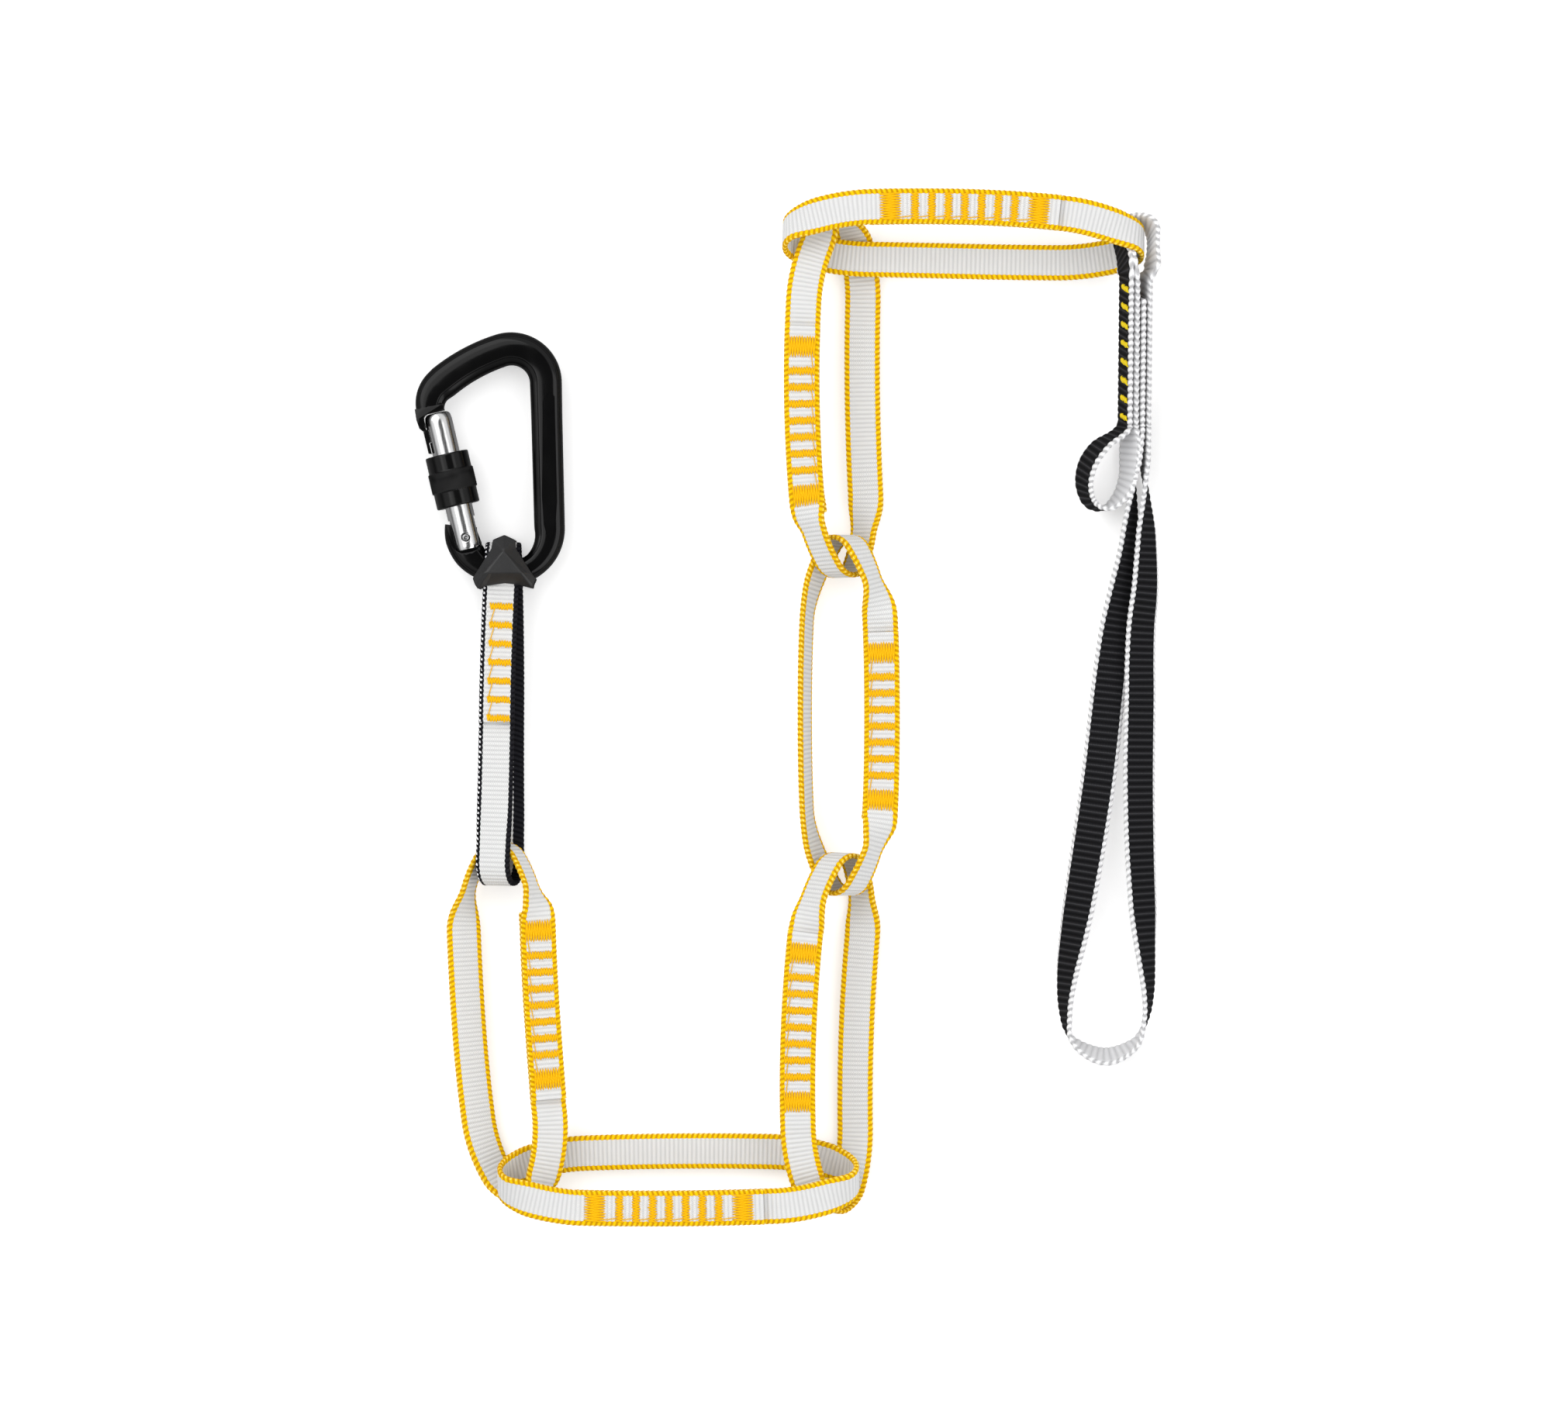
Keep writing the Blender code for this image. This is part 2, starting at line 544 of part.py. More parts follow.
# The sling's frames: its tape stands on edge, leans with the stack and opens out along the legs
class Harness:
    def __init__(self, ring_end):
        self.axis = ring_end.x + STACK_SHIFT
        self.crest = ring_end.y + TAPE_WIDTH / 2 * math.cos(math.radians(TOP_LOOP_SLOPE)) + 4.3 * MM
        down = STACK_START + STACK_LENGTH
        bottom = HARNESS_LENGTH
        climb = math.tan(math.radians(TOP_LOOP_SLOPE))
        through = self.crest - ring_end.y
        over = STACK_START - 4 * MM
        middle = ring_end.z + 0.2 * MM
        self.rises = [(0.0, middle - through * climb), (over, middle + (over - through) * climb),
                      (down, HARNESS_RISE + 2.2 * MM), (down + 30 * MM, HARNESS_RISE), (bottom, HARNESS_RISE)]
        self.leans = [(12 * MM, 0.0), (STACK_START, STACK_LEAN), (down, STACK_LEAN),
                      (down + 42 * MM, 0.0)]
        self.twists = [(down + 16 * MM, 0.0), (down + 74 * MM, 26.0), (down + 122 * MM, HARNESS_LEAN),
                       (bottom - 74 * MM, HARNESS_LEAN), (bottom - 26 * MM, 0.0), (bottom, -32.0)]
        plan = harness_plan()
        self.points = [self.place(p) for p, _ in plan]
        self.frames = [self.frame(plan, k) for k in range(len(plan))]

    def rise(self, y):
        return blend(self.rises, y, float)

    def place(self, p):
        lean = math.radians(blend(self.leans, p.y))
        rise = self.rise(p.y) - p.x * math.sin(lean)
        return Vector((self.axis + p.x * math.cos(lean), self.crest - p.y, rise))

    # The two directions of the sling's plan at a place: across its stack, and down it
    def plan_axes(self, y):
        lean = math.radians(blend(self.leans, y))
        climb = (self.rise(y + 4 * MM) - self.rise(y - 4 * MM)) / (8 * MM)
        aside = Vector((math.cos(lean), 0.0, -math.sin(lean)))
        return aside, Vector((0.0, -1.0, climb)).normalized()

    def frame(self, plan, k):
        p, run = plan[k]
        first, last = plan[max(k - 1, 0)][0], plan[min(k + 1, len(plan) - 1)][0]
        flat = (last - first).normalized()
        ahead = (self.points[min(k + 1, len(plan) - 1)] - self.points[max(k - 1, 0)]).normalized()
        aside, below = self.plan_axes(p.y)
        outer = below * flat.x - aside * flat.y
        outer = (outer - ahead * outer.dot(ahead)).normalized()
        across = ahead.cross(outer)
        if across.z < 0:
            across = -across
        twist = blend(self.twists, p.y) if run == 1 else 0.0
        if run == 5:
            twist = 18.0 * abs(flat.y) if flat.y > 0 else -18.0 * abs(flat.y)
            twist *= smoothstep((p.y - STACK_START - STACK_LENGTH) / (10 * MM))
        angle = math.radians(twist)
        normal = outer * math.cos(angle) + across * math.sin(angle)
        return self.points[k], ahead.cross(normal), normal


    # A point of the stack's outer face, for its stitching: u down the seam from its middle
    def face(self, u, v, h):
        out = TAPE_THICKNESS / 2 + SEAT_GAP + h
        p = Vector((-1.5 * (TAPE_THICKNESS + LAYER_GAP) - out, STACK_SEAM + u))
        aside, below = self.plan_axes(p.y)
        across = below.cross(aside).normalized()
        return self.place(p) - across * v


# Stands a plain outline, given as points in a plane, up into a solid between two heights
def prism(outline, low, high):
    bm = bmesh.new()
    face = bm.faces.new([bm.verts.new((x, y, low)) for x, y in outline])
    grown = bmesh.ops.extrude_face_region(bm, geom=[face])["geom"]
    tops = [g for g in grown if isinstance(g, bmesh.types.BMVert)]
    bmesh.ops.translate(bm, verts=tops, vec=(0.0, 0.0, high - low))
    return bm


def box(low, high):
    (x0, y0, z0), (x1, y1, z1) = low, high
    return prism([(x0, y0), (x1, y0), (x1, y1), (x0, y1)], z0, z1)


# A solid turned about the Y axis from a profile of (radius, y) points
def turned(profile, sides, hollow=False):
    bm = bmesh.new()
    verts = [bm.verts.new((radius, y, 0.0)) for radius, y in profile]
    pairs = list(zip(verts, verts[1:])) + ([(verts[-1], verts[0])] if hollow else [])
    edges = [bm.edges.new(pair) for pair in pairs]
    bmesh.ops.spin(bm, geom=verts + edges, cent=(0, 0, 0), axis=(0, 1, 0),
                   angle=2 * math.pi, steps=sides, use_merge=True)
    bmesh.ops.remove_doubles(bm, verts=bm.verts, dist=0.00001)
    return bm


def cutter(name, bm, place):
    bm.transform(place)
    obj = add_object(name, bm, None)
    obj.hide_render = True
    obj.display_type = "WIRE"
    return obj


def boolean(obj, other, operation):
    modifier = obj.modifiers.new(other.name, "BOOLEAN")
    modifier.object = other
    modifier.operation = operation
    modifier.solver = "EXACT"


def turned_out(angle):
    return Vector((math.cos(math.radians(angle)), math.sin(math.radians(angle))))


# The bar's centre line: three arcs and the tangents between them, with the outward direction
def bar_line():
    circles = [(Vector(SHOULDER_CENTRE), SHOULDER_RADIUS), (Vector(TOP_CENTRE), TOP_RADIUS),
               (Vector((0.0, 0.0)), BASKET_RADIUS)]
    turns = [NOSE_ANGLE]
    for (centre, radius), (other, wider) in zip(circles, circles[1:]):
        gap = other - centre
        turns.append(math.degrees(math.atan2(gap.y, gap.x) + math.acos((radius - wider) / gap.length)))
    turns.append(TANG_ANGLE)
    found = []
    for (centre, radius), begin, finish in zip(circles, turns, turns[1:]):
        count = math.ceil((begin - finish) / BAR_TURN_STEP)
        first = centre + turned_out(begin) * radius
        if found:
            last = found[-1][0]
            pieces = math.ceil((first - last).length / BAR_LINE_STEP)
            found += [(last.lerp(first, k / pieces), turned_out(begin)) for k in range(1, pieces)]
        for step in range(count + 1):
            out = turned_out(begin + (finish - begin) * step / count)
            found.append((centre + out * radius, out))
    return found


# Half sizes of the bar's section at a distance along it
def bar_size(distance):
    for before, after in zip(BAR_SIZES, BAR_SIZES[1:]):
        if distance <= after[0] * MM:
            share = (distance / MM - before[0]) / (after[0] - before[0])
            return [(b + (a - b) * share) * MM for b, a in zip(before[1:], after[1:])]
    return [value * MM for value in BAR_SIZES[-1][1:]]


def carabiner_body():
    stations = []
    distance = 0.0
    last = None
    for point, out in bar_line():
        distance += (point - last).length if last else 0.0
        last = point
        outer, inner, thick = bar_size(distance)
        places = []
        for k in range(BAR_CORNERS):
            c, s = turned_out(360.0 * k / BAR_CORNERS)
            across = math.copysign(abs(c) ** (2 / BAR_ROUNDNESS), c) * (outer if c > 0 else inner)
            high = math.copysign(abs(s) ** (2 / BAR_ROUNDNESS), s) * thick
            places.append((*(point + out * across), high))
        stations.append(places)
    return strip(stations)


# What the gate's foot sweeps beside the tang, about the pivot with the gate along +Y
def foot_pocket(radius, swing):
    opened = Matrix.Rotation(math.radians(-swing), 2)
    arcs = [turned_out(180.0 + (180.0 - swing) * k / 12) * radius for k in range(13)]
    return [(-radius, REACH), *[tuple(p) for p in arcs], tuple(opened @ Vector((radius, REACH)))]


def add_carabiner(place, black, silver, dark):
    pivot = turned_out(PIVOT_ANGLE) * BASKET_RADIUS
    hinge = place @ Matrix.Translation((*pivot, 0.0))
    gate_place = hinge @ Matrix.Rotation(math.radians(GATE_LEAN), 4, "Z")
    origin = hinge.translation
    tang = TANG_THICKNESS / 2
    tall = 2 * BODY_HALF_THICKNESS

    body = carabiner_body()
    body.transform(place)
    body = add_object("carabiner_body", body, black, place.translation)
    tongue = box((-TONGUE_OUTER, TONGUE_END, -TONGUE_HALF), (-TONGUE_INNER, TONGUE_ROOT, TONGUE_HALF))
    pocket = foot_pocket(FOOT_RADIUS + FOOT_CLEARANCE, GATE_OPEN)
    boolean(body, cutter("tongue_bar", tongue, gate_place), "UNION")
    boolean(body, cutter("pocket_above", prism(pocket, tang, tall), gate_place), "DIFFERENCE")
    boolean(body, cutter("pocket_below", prism(pocket, -tall, -tang), gate_place), "DIFFERENCE")
    upright = Matrix.Rotation(math.radians(90.0), 4, "X")
    hole = RIVET_RADIUS + SEAT_GAP
    bore = turned([(0.0, -tall), (hole, -tall), (hole, tall), (0.0, tall)], 24)
    bore = cutter("rivet_bore", bore, hinge @ upright)
    boolean(body, bore, "DIFFERENCE")

    r, end = GATE_RADIUS, GATE_LENGTH
    gate = turned([(0.0, -FOOT_RADIUS), (r, -FOOT_RADIUS), (r, end - 3.5 * MM), (0.92 * r, end - 1.6 * MM),
                   (0.62 * r, end - 0.4 * MM), (0.0, end)], 32)
    gate.transform(gate_place)
    gate = add_object("gate", gate, silver, origin)
    foot = [tuple(turned_out(180.0 + 15.0 * k) * FOOT_RADIUS) for k in range(13)]
    foot = prism([(-FOOT_RADIUS, end + MM), *foot, (FOOT_RADIUS, end + MM)], -tall, tall)
    boolean(gate, cutter("foot_round", foot, gate_place), "INTERSECT")
    slot = tang + TANG_CLEARANCE
    slot = box((-2 * r, -2 * r, -slot), (2 * r, SLOT_DEPTH, slot))
    boolean(gate, cutter("gate_slot", slot, gate_place), "DIFFERENCE")
    boolean(gate, bore, "DIFFERENCE")
    notch = box((-2 * r, TONGUE_END - NOTCH_GAP, -tall), (-TONGUE_INNER + SEAT_GAP, end + MM, tall))
    boolean(gate, cutter("gate_notch", notch, gate_place), "DIFFERENCE")

    head, dip = RIVET_HALF, RIVET_DIMPLE
    rivet = turned([(0.0, -head + dip), (0.5 * RIVET_RADIUS, -head + dip), (0.8 * RIVET_RADIUS, -head),
                    (RIVET_RADIUS, dip - head), (RIVET_RADIUS, head - dip), (0.8 * RIVET_RADIUS, head),
                    (0.5 * RIVET_RADIUS, head - dip), (0.0, head - dip)], 24)
    rivet.transform(hinge @ upright)
    add_object("rivet", rivet, silver, origin)
    add_sleeve(gate_place, dark)


# The locking sleeve: a collar that fits the gate, and a wide mouth for the nose
def add_sleeve(gate_place, dark):
    low, high = SLEEVE_START, SLEEVE_START + SLEEVE_LENGTH
    band, top = low + KNURL_START, low + KNURL_START + KNURL_LENGTH
    fit, rim, ridge = GATE_RADIUS + SLEEVE_FIT, SLEEVE_RADIUS, KNURL_RADIUS
    edge = 0.6 * MM
    sleeve = turned([(fit, low), (rim - edge, low), (rim, low + edge), (rim, band), (ridge, band + edge),
                     (ridge, top - edge), (rim, top), (rim, high - edge), (rim - edge, high),
                     (SLEEVE_MOUTH, high), (SLEEVE_MOUTH, low + SLEEVE_COLLAR + MM),
                     (fit, low + SLEEVE_COLLAR)], 2 * KNURL_RIDGES, hollow=True)
    for vert in sleeve.verts:
        turn = round(math.atan2(vert.co.z, vert.co.x) * KNURL_RIDGES / math.pi)
        if math.hypot(vert.co.x, vert.co.z) > ridge - 0.1 * MM and turn % 2:
            vert.co.x *= KNURL_GROOVE / ridge
            vert.co.z *= KNURL_GROOVE / ridge
    sleeve.transform(gate_place)
    add_object("sleeve", sleeve, dark, gate_place @ Vector((0.0, low, 0.0)), 50.0)


# The rubber piece that holds the sling against the basket: faceted, and open for sling and bar
def add_keeper(place, rubber):
    outline = [(x * MM, y * MM) for x, y in KEEPER_OUTLINE]
    channel = BODY_HALF_THICKNESS + SLING_SLACK + TAPE_THICKNESS + KEEPER_SLACK
    top = channel + KEEPER_WALL
    keeper = prism(outline, -top, top)
    lid = [face for face in keeper.faces if face.calc_center_median().z > top - MM]
    peak = bmesh.ops.poke(keeper, faces=lid)["verts"][0]
    peak.co = (*KEEPER_PEAK, top + KEEPER_PEAK_RISE)
    keeper.transform(place)
    keeper = add_object("keeper", keeper, rubber, place.translation)
    bevel = keeper.modifiers.new("bevel", "BEVEL")
    bevel.width = KEEPER_BEVEL
    bevel.segments = 1
    room = SLING_TOP + TAPE_THICKNESS / 2 + SEAT_GAP
    channel = box((-REACH, -REACH, -channel), (REACH, room, channel))
    boolean(keeper, cutter("keeper_channel", channel, place), "DIFFERENCE")


# Moves everything so that the object stands on z = 0 with its box's middle at the origin
def settle():
    solid = [obj for obj in bpy.data.objects if not obj.hide_render]
    corners = [obj.location + vert.co for obj in solid for vert in obj.data.vertices]
    low = Vector([min(c[k] for c in corners) for k in range(3)])
    high = Vector([max(c[k] for c in corners) for k in range(3)])
    shift = Vector((-(low.x + high.x) / 2, -(low.y + high.y) / 2, -low.z))
    for obj in bpy.data.objects:
        obj.location += shift


def main():
    clear_scene()
    white = material("white_tape", (0.82, 0.80, 0.75), 0.75)
    black_tape = material("black_tape", (0.03, 0.03, 0.035), 0.8)
    gold = material("golden_thread", (0.90, 0.52, 0.03), 0.6)
    black = material("black_anodised", (0.012, 0.012, 0.014), 0.25, 0.6)
    silver = material("polished_alloy", (0.72, 0.73, 0.75), 0.22, 1.0)
    dark = material("dark_anodised", (0.03, 0.03, 0.035), 0.4, 0.8)
    rubber = material("dark_rubber", (0.045, 0.047, 0.05), 0.7)

    routes = ring_routes()
    for number, route in routes.items():
        sewn = SewnLoop(route, RING_OVERLAP, SEAM_SHIFTS[number])
        link = route.start if number > 4 else route.end
        link = Vector((0.0, 0.0, 0.0)) if number == 4 else link
        add_object(f"ring_{number}_tape", sewn.tape(7.0 * MM, 24.0), white, link)
        hand = -1.0 if number in (3, 4) else 1.0
        bars = stitching(sewn.face, ring_bars(), BAR_SPAN, hand)
        add_object(f"ring_{number}_stitching", bars, gold, link)

    route = sling_route(routes[1])
    sling = SewnLoop(route, SLING_OVERLAP, SLING_SEAM_START)
    add_object("carabiner_sling_tape", sling.tape(8.0 * MM, 24.0), white, route.end)
    bars = [((k - (SLING_BARS - 1) / 2) * SLING_BAR_PITCH, BAR_NARROW) for k in range(SLING_BARS)]
    bars = stitching(sling.face, bars, SLING_BAR_SPAN, 1.0, SLING_BAR_SHIFT)
    add_object("carabiner_sling_stitching", bars, gold, route.end)

    place = Matrix.Translation(route.start - Vector((SLING_SHIFT, SLING_TOP, 0.0)))
    add_keeper(place, rubber)
    add_carabiner(place, black, silver, dark)

    harness = Harness(routes[6].end)
    top = Vector((harness.axis, harness.crest, routes[6].end.z))
    add_object("harness_sling_tape", strip([section(f) for f in harness.frames]), black_tape, top)
    bars = [((k - (HARNESS_BARS - 1) / 2) * HARNESS_BAR_PITCH, BAR_NARROW) for k in range(HARNESS_BARS)]
    add_object("harness_sling_stitching", stitching(harness.face, bars, BAR_SPAN, 1.0), gold, top)
    settle()


main()
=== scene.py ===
import math

import bmesh
import bpy
from mathutils import Matrix, Vector


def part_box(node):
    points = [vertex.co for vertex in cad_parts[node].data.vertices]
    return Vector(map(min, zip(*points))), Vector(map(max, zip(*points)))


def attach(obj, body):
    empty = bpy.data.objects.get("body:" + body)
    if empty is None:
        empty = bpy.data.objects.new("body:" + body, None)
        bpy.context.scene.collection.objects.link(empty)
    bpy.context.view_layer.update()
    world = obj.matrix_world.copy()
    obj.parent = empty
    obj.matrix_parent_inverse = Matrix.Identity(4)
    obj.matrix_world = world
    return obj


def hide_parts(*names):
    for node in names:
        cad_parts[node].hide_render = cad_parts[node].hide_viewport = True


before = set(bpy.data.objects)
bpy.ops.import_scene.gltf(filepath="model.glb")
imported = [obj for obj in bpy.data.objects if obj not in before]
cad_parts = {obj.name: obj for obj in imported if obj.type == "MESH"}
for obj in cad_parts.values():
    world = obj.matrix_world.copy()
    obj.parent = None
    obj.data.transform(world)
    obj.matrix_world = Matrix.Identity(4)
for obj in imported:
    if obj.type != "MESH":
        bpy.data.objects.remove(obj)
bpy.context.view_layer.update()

# A climbing daisy chain laid flat: six linked tape rings, a short sling with a screw-gate
# carabiner at one end and a long black harness sling at the other. Metres, seen from above.

mm = 0.001

# The tape that all the rings and both slings are cut from, and how the chain's maths lays it
tape = {
    "width": 14.5 * mm,
    "thickness": 2.2 * mm,
    "layerGap": 0.3 * mm,
    "edgeRadius": 1.1 * mm,    # the round selvedge
    "webHalf": 0.78 * mm,      # half the web's thickness in the grooves between ribs
    "ribShape": 0.6,           # under 1 for round ribs with narrow grooves
    "webShares": (0.0, 0.35, 0.7, 1.0),
    "edgeTurns": (-75, -45, -15, 15, 45, 75),
}

chain = {
    "ringLength": 145.5 * mm,
    "ringOpening": 32.0 * mm,
    "ringStraight": 76.0 * mm,
    "overlap": 76.0 * mm,        # where a ring's two layers are sewn
    "mirroredSeams": (3, 4),
    "seamShifts": {1: -6.6 * mm, 2: -3.7 * mm, 3: 2.3 * mm, 4: -4.4 * mm, 5: -9.6 * mm, 6: 0.0},
    "layerRamp": 7.0 * mm,       # in which a layer's end comes down
    "linkClearance": 0.9 * mm,
    "linkReach": 15.2 * mm,      # from a linked ring's end to the other's middle line
    "ringRise": 13.8 * mm,       # heights above the floor: linked ends, crossing rings, low ends
    "crossRise": 18.6 * mm,
    "topLift": 2.6 * mm,
    "lowEnd": 10.4 * mm,
    "slingRise": 12.2 * mm,
    "fifthEnd": (-2.0 * mm, 0.8 * mm),     # how far a ring's end is moved aside and up
    "thirdEnds": (-5.2 * mm, -0.3 * mm),
    "crossDropTop": 6.6 * mm,
    "crossDropBottom": 13.3 * mm,
    "slingRingDrop": 8.3 * mm,
    "topFall": 3.5 * mm,
    "bottomFall": 1.0 * mm,
    "bottomSettle": 3.3 * mm,
    "slingRingLean": 10.1 * mm,
    "crossInsetTop": 14.9 * mm,
    "crossInsetBottom": 17.0 * mm,
    "crossTilt": 45.0,
    "slingRingTilt": 35.0,
}

# How each ring lies: its tilt at one end, the middle and the other end, how its middle bows and
# lifts, how far its legs turn to face up, and from where to where in mm from each end they do
linked, crossed, rolled = (16.0, 34.0), (0.0, 14.0), (0.0, 11.0)
ringLies = {
    1: dict(tilts=(18.0, 20.0, 35.0), bow=-2.4 * mm, lift=1.5 * mm, faces=(80.0, 70.0),
            settle=(linked, rolled)),
    2: dict(tilts=(57.0, 47.0, 57.0), settle=(crossed, crossed)),
    3: dict(tilts=(45.0, 43.0, 45.0), bow=3.8 * mm, lift=1.6 * mm, settle=(rolled, linked)),
    4: dict(tilts=(45.0, 14.0, 45.0), faces=(90.0, 18.0), settle=(linked, linked)),
    5: dict(tilts=(45.0, 40.0, 45.0), bow=3.5 * mm, lift=1.8 * mm, settle=(linked, rolled)),
    6: dict(tilts=(57.0, 50.0, 65.0), bow=2.0 * mm, settle=(crossed, crossed)),
}

bendRadius = tape["width"] / 2 + chain["linkClearance"] + tape["thickness"] / 2


def smoothStep(share):
    share = min(max(share, 0.0), 1.0)
    return share * share * (3.0 - 2.0 * share)


def polar(angle):
    return Vector((math.cos(math.radians(angle)), math.sin(math.radians(angle))))


# A closed outline in its own plane, x along the loop and y across it, of lines and tangent arcs
class Loop:
    def __init__(self, runs):
        self.runs = runs
        self.length = sum(run["length"] for run in runs)
        self.half = max(abs(self.at(self.length * k / 400)[0]) for k in range(400))

    def at(self, distance):
        distance %= self.length
        for run in self.runs:
            if distance <= run["length"]:
                break
            distance -= run["length"]
        share = min(distance / run["length"], 1.0)
        if run["radius"] == 0.0:
            (x0, y0), (x1, y1) = run["ends"]
            along = Vector((x1 - x0, y1 - y0)).normalized()
            return x0 + (x1 - x0) * share, y0 + (y1 - y0) * share, -along.y, along.x
        angle = run["from"] + (run["to"] - run["from"]) * share
        x = run["centre"][0] + run["radius"] * math.cos(angle)
        y = run["centre"][1] + run["radius"] * math.sin(angle)
        return x, y, math.cos(angle), math.sin(angle)


def arcRun(centre, radius, begin, end):
    return {"centre": centre, "radius": radius, "from": begin, "to": end,
            "length": radius * abs(end - begin)}


def lineRun(first, last):
    return {"radius": 0.0, "ends": (first, last),
            "length": math.hypot(last[0] - first[0], last[1] - first[1])}


def ringLoop():
    tight = bendRadius
    centre = (chain["ringLength"] - tape["thickness"]) / 2 - tight
    wide = chain["ringOpening"] / 2
    flat = chain["ringStraight"] / 2
    shoulder = ((centre - flat) ** 2 + wide ** 2 - tight ** 2) / (2 * (wide - tight))
    lean = math.asin((centre - flat) / (shoulder - tight))
    up, full = math.pi / 2, math.pi
    return Loop([
        lineRun((-flat, wide), (flat, wide)),
        arcRun((flat, wide - shoulder), shoulder, up, up - lean),
        arcRun((centre, 0.0), tight, up - lean, lean - up),
        arcRun((flat, shoulder - wide), shoulder, lean - up, -up),
        lineRun((flat, -wide), (-flat, -wide)),
        arcRun((-flat, shoulder - wide), shoulder, -up, -up - lean),
        arcRun((-centre, 0.0), tight, -up - lean, lean - 3 * up),
        arcRun((-flat, wide - shoulder), shoulder, lean - 3 * up, -full - up),
    ])


def slingLoop(barBend):
    tight = bendRadius
    apart = sling["length"] - tape["thickness"] - tight - barBend
    middle = (barBend - tight) / 2
    near, far = middle - apart / 2, middle + apart / 2
    high = math.pi / 2 + math.asin((tight - barBend) / apart)

    def rim(centre, radius, angle):
        return centre + radius * math.cos(angle), radius * math.sin(angle)

    return Loop([
        lineRun(rim(near, barBend, high), rim(far, tight, high)),
        arcRun((far, 0.0), tight, high, -high),
        lineRun(rim(far, tight, -high), rim(near, barBend, -high)),
        arcRun((near, 0.0), barBend, -high, high - 2 * math.pi),
    ])


# Where a loop lies: its plane tilts about its own axis, and its tape turns to face up
class Route:
    def __init__(self, loop, start, end, side, tilts, settle,
                 bow=0.0, lift=0.0, faces=(90.0, 90.0)):
        self.loop, self.tilts, self.bow, self.lift = loop, tilts, bow, lift
        self.faces, self.settle = faces, settle
        self.start, self.end = Vector(start), Vector(end)
        self.along = Vector((self.end.x - self.start.x, self.end.y - self.start.y, 0)).normalized()
        self.up = Vector((0.0, 0.0, 1.0))
        across = self.up.cross(self.along)
        self.side = across if across.dot(Vector(side)) > 0 else -across
        self.hand = 1.0 if self.along.cross(self.side).z > 0 else -1.0

    def tilt(self, q):
        begin, middle, finish = self.tilts
        return math.radians(middle + ((finish if q > 0 else begin) - middle) * q * q)

    def opening(self, q):
        tilt = self.tilt(q)
        return self.side * math.cos(tilt) + self.up * math.sin(tilt)

    def point(self, distance):
        x, y, _, _ = self.loop.at(distance)
        q = x / self.loop.half
        arch = 1 - q * q
        centre = self.start.lerp(self.end, (q + 1) / 2)
        centre += self.side * (self.bow * arch) + self.up * (self.lift * arch)
        return centre + self.opening(q) * y

    def frame(self, distance, offset):
        x, y, nx, ny = self.loop.at(distance)
        q = x / self.loop.half
        ahead = (self.point(distance + mm) - self.point(distance - mm)).normalized()
        face = self.faces[0 if y > 0 else 1]
        near, far = self.settle[1 if q > 0 else 0]
        share = smoothStep((self.loop.half - abs(x) - near * mm) / ((far - near) * mm))
        turn = (math.radians(face) - self.tilt(q)) * share * self.hand
        normal = Matrix.Rotation(turn, 3, self.along) @ (self.along * nx + self.opening(q) * ny)
        normal = (normal - ahead * normal.dot(ahead)).normalized()
        return self.point(distance) + normal * offset, ahead.cross(normal), normal


# The tape goes once round the loop and on over its own start, where the two layers are sewn
class SewnLoop:
    def __init__(self, route, overlap, begin):
        self.route, self.overlap, self.begin = route, overlap, begin
        self.step = (tape["thickness"] + tape["layerGap"]) / 2
        self.length = route.loop.length + overlap

    def offset(self, distance):
        turn, ramp = self.route.loop.length, chain["layerRamp"]
        past = distance - self.begin
        if past <= self.overlap + ramp:
            return -self.step * (1 - smoothStep((past - self.overlap) / ramp))
        return self.step * smoothStep((past - turn + ramp) / ramp)

    def frameAt(self, distance):
        distance += self.begin
        return self.route.frame(distance, self.offset(distance))

    # A point of the outer face: u along the seam from its middle, v across it, h above it
    def face(self, u, v, h):
        height = self.step + tape["thickness"] / 2 + h
        point, across, _ = self.route.frame(self.begin + self.overlap / 2 + u, height)
        return point + across * v


# Where the six rings lie, walked from the fourth, which is the middle of the upright run
def ringRoutes():
    loop, c = ringLoop(), chain
    half, tight = loop.half, bendRadius
    west, east = (-1.0, 0.0, 0.0), (1.0, 0.0, 0.0)
    south, north = (0.0, -1.0, 0.0), (0.0, 1.0, 0.0)
    rise, low = c["ringRise"], c["lowEnd"]
    routes = {4: Route(loop, (0.0, -half, rise), (0.0, half, rise), east, **ringLies[4])}
    near = half - c["linkReach"]
    far = near + 2 * half
    (aside, up), (below, down) = c["fifthEnd"], c["thirdEnds"]
    routes[5] = Route(loop, (0.0, near, rise), (aside, far, low + up), west, **ringLies[5])
    routes[3] = Route(loop, (below, -far, low), (0.0, -near, rise + down), west, **ringLies[3])
    lateral = tight * math.cos(math.radians(c["crossTilt"]))
    left = routes[5].end.x - lateral - c["crossInsetTop"]
    level = routes[5].end.y - c["crossDropTop"]
    rise = c["crossRise"] + c["topLift"]
    end = (left + 2 * half, level - c["topFall"], rise)
    routes[6] = Route(loop, (left, level, rise), end, north, **ringLies[6])
    right = routes[3].start.x - lateral + c["crossInsetBottom"]
    level = routes[3].start.y + c["crossDropBottom"]
    routes[2] = Route(loop, (right - 2 * half, level - c["bottomFall"], c["crossRise"]),
                      (right, level, c["crossRise"] - c["bottomSettle"]), south, **ringLies[2])
    lateral = tight * math.cos(math.radians(c["slingRingTilt"]))
    foot = routes[2].start.x + c["crossInsetBottom"] - lateral
    level = routes[2].start.y - c["slingRingDrop"]
    routes[1] = Route(loop, (foot - c["slingRingLean"], level + 2 * half, c["slingRise"]),
                      (foot, level, low), east, **ringLies[1])
    return routes


